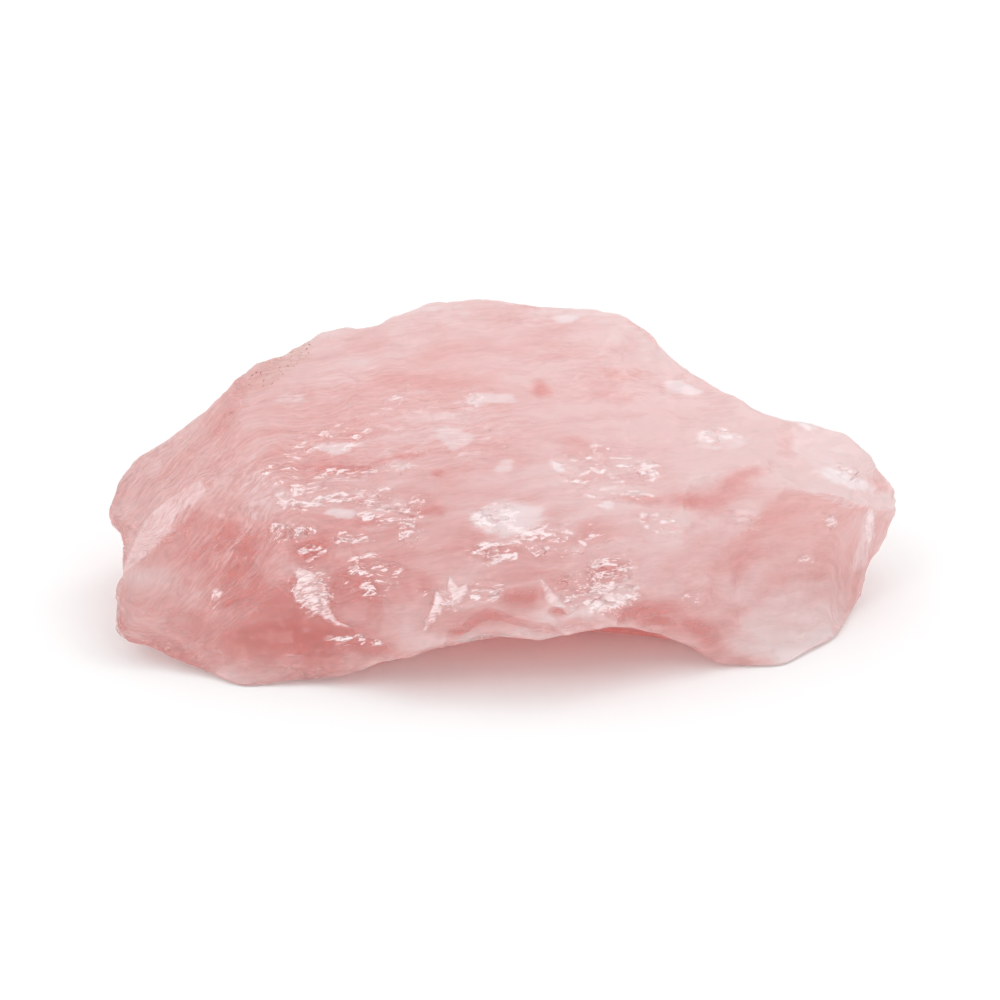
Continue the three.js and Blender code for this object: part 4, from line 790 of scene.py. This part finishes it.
# what the light meets at the skin: pale pink veils, paler on faces turned up with painted light from above, white
# flakes and painted white glints, and a weathered place with iron specks
colour = G.mix(pale, srgb(253, 226, 224), srgb(249, 243, 243))
colour = G.mix(veils, colour, srgb(243, 240, 243))
weather = times(tan, G.curve(crumple, 0.38, 0.62, 0.10, 0.45))
colour = G.mix(weather, colour, srgb(218, 184, 166))
speck = times(G.curve(G.noise(place, 2.1, 0, 0.5), 0.70, 0.76), G.curve(tan, 0.25, 0.6))
colour = G.mix(times(speck, 0.7), colour, srgb(150, 80, 50))

G.put(surface.inputs[0], G.math("MAXIMUM", times(pale, 0.95), weather))
G.put(veil_both.inputs[0], times(G.math("SUBTRACT", 1.0, times(veils, 0.75)), 0.50))
G.put(over.inputs[0], white)
# the white of the flakes and of the painted glints
painted_glint_and_flake_bsdf.inputs["Base Color"].default_value = srgb(250, 233, 234)
G.put(veil_front.inputs["Base Color"], colour)
G.put(veil_back.inputs["Color"], colour)
clear.inputs["Base Color"].default_value = (1, 1, 1, 1)
clear.inputs["Transmission Weight"].default_value = 1.0
roughness = G.curve(glint, 0.2, 1.0, 0.21, 0.13)
for side in (clear, veil_front, painted_glint_and_flake_bsdf):
    side.inputs["IOR"].default_value = 1.54
    G.put(side.inputs["Roughness"], roughness)

# each crumb of a hackly break faces its own way, so that some of them flash
tilt = G.node("ShaderNodeVectorMath", operation="SUBTRACT")
G.put(tilt.inputs[0], cell.outputs["Color"])
tilt.inputs[1].default_value = (0.5, 0.5, 0.5)
much = G.node("ShaderNodeVectorMath", operation="SCALE")
G.put(much.inputs[0], tilt.outputs[0])
G.put(much.inputs["Scale"], G.curve(glint, 0.05, 0.9, 0.0, 0.8, smooth=False))
skin = G.node("ShaderNodeNewGeometry")
facing = G.node("ShaderNodeVectorMath", operation="ADD")
G.put(facing.inputs[0], skin.outputs["Normal"])
G.put(facing.inputs[1], much.outputs[0])
unit_normal = G.node("ShaderNodeVectorMath", operation="NORMALIZE")
G.put(unit_normal.inputs[0], facing.outputs[0])
for side in (clear, veil_front, painted_glint_and_flake_bsdf):
    G.put(side.inputs["Normal"], unit_normal.outputs[0])

# the inside: cloudy, and coral because it takes up green and blue
cloud = G.node("ShaderNodeVolumeScatter")
cloud.inputs["Color"].default_value = (1, 1, 1, 1)
cloud.inputs["Density"].default_value = 38.0
cloud.inputs["Anisotropy"].default_value = 0.0
tint = G.node("ShaderNodeVolumeAbsorption")
tint.inputs["Color"].default_value = (1.0, 0.1, 0.0, 1)
tint.inputs["Density"].default_value = 21.0
body = G.node("ShaderNodeAddShader")
G.tree.links.new(cloud.outputs[0], body.inputs[0])
G.tree.links.new(tint.outputs[0], body.inputs[1])
G.tree.links.new(body.outputs[0], out.inputs["Volume"])

mesh.materials.clear()
mesh.materials.append(material)

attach(chunk, "root")
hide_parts("rose_quartz_chunk")

# ---------------------------------------------------------------------------------------------------------------
# Floor, light, camera
# ---------------------------------------------------------------------------------------------------------------
half = 3.0
floor_mesh = bpy.data.meshes.new("floor")
floor_mesh.from_pydata([(-half, -half, 0), (half, -half, 0), (half, half, 0), (-half, half, 0)], [], [(0, 1, 2, 3)])
floor = bpy.data.objects.new("floor", floor_mesh)
bpy.context.scene.collection.objects.link(floor)
floor.location = (0, 0, -0.0001)
paper = bpy.data.materials.new("floor")
paper.use_nodes = True
shade = paper.node_tree.nodes["Principled BSDF"]
shade.inputs["Base Color"].default_value = (0.915, 0.915, 0.915, 1)
shade.inputs["Roughness"].default_value = 0.9
shade.inputs["Specular IOR Level"].default_value = 0.2
floor_mesh.materials.append(paper)

scene = bpy.context.scene
world = bpy.data.worlds.new("studio")
scene.world = world
world.use_nodes = True
world.node_tree.nodes["Background"].inputs["Color"].default_value = (1, 1, 1, 1)
world.cycles.sampling_method = "NONE"
sky = world.node_tree
way = sky.nodes.new("ShaderNodeTexCoord").outputs["Generated"]
total = None
# a big soft panel overhead and a little behind, and two small soft boxes that give the highlights
for toward, lo, hi, dim, bright in (((0.0, 0.42, 0.91), 0.0, 1.0, 0.98, 1.09),
                                    ((-0.45, -0.50, 0.74), 0.965, 0.99, 0.0, 1.8),
                                    ((0.52, 0.38, 0.765), 0.965, 0.99, 0.0, 1.8)):
    dot = sky.nodes.new("ShaderNodeVectorMath")
    dot.operation = "DOT_PRODUCT"
    dot.inputs[1].default_value = Vector(toward).normalized()
    sky.links.new(way, dot.inputs[0])
    panel = sky.nodes.new("ShaderNodeMapRange")
    panel.interpolation_type = "SMOOTHSTEP"
    for name, value in (("From Min", lo), ("From Max", hi), ("To Min", dim), ("To Max", bright)):
        panel.inputs[name].default_value = value
    sky.links.new(dot.outputs["Value"], panel.inputs["Value"])
    if total is None:
        total = panel.outputs[0]
    else:
        both = sky.nodes.new("ShaderNodeMath")
        sky.links.new(total, both.inputs[0])
        sky.links.new(panel.outputs[0], both.inputs[1])
        total = both.outputs[0]
sky.links.new(total, sky.nodes["Background"].inputs["Strength"])

camera = bpy.data.cameras.new("camera")
camera.lens = LENS
camera.sensor_width = SENSOR
camera.clip_start = 0.01
camera.clip_end = 20
eye = bpy.data.objects.new("camera", camera)
scene.collection.objects.link(eye)
eye.location = EYE / 1000
eye.rotation_euler = Vector(-TO_CAMERA).to_track_quat("-Z", "Y").to_euler()
scene.camera = eye

scene.view_settings.view_transform = "Standard"
scene.view_settings.look = "None"
scene.cycles.use_denoising = True
scene.cycles.max_bounces = 64
scene.cycles.volume_bounces = 48
scene.cycles.transmission_bounces = 56
scene.cycles.diffuse_bounces = 3
scene.cycles.glossy_bounces = 4

bpy.context.view_layer.update()
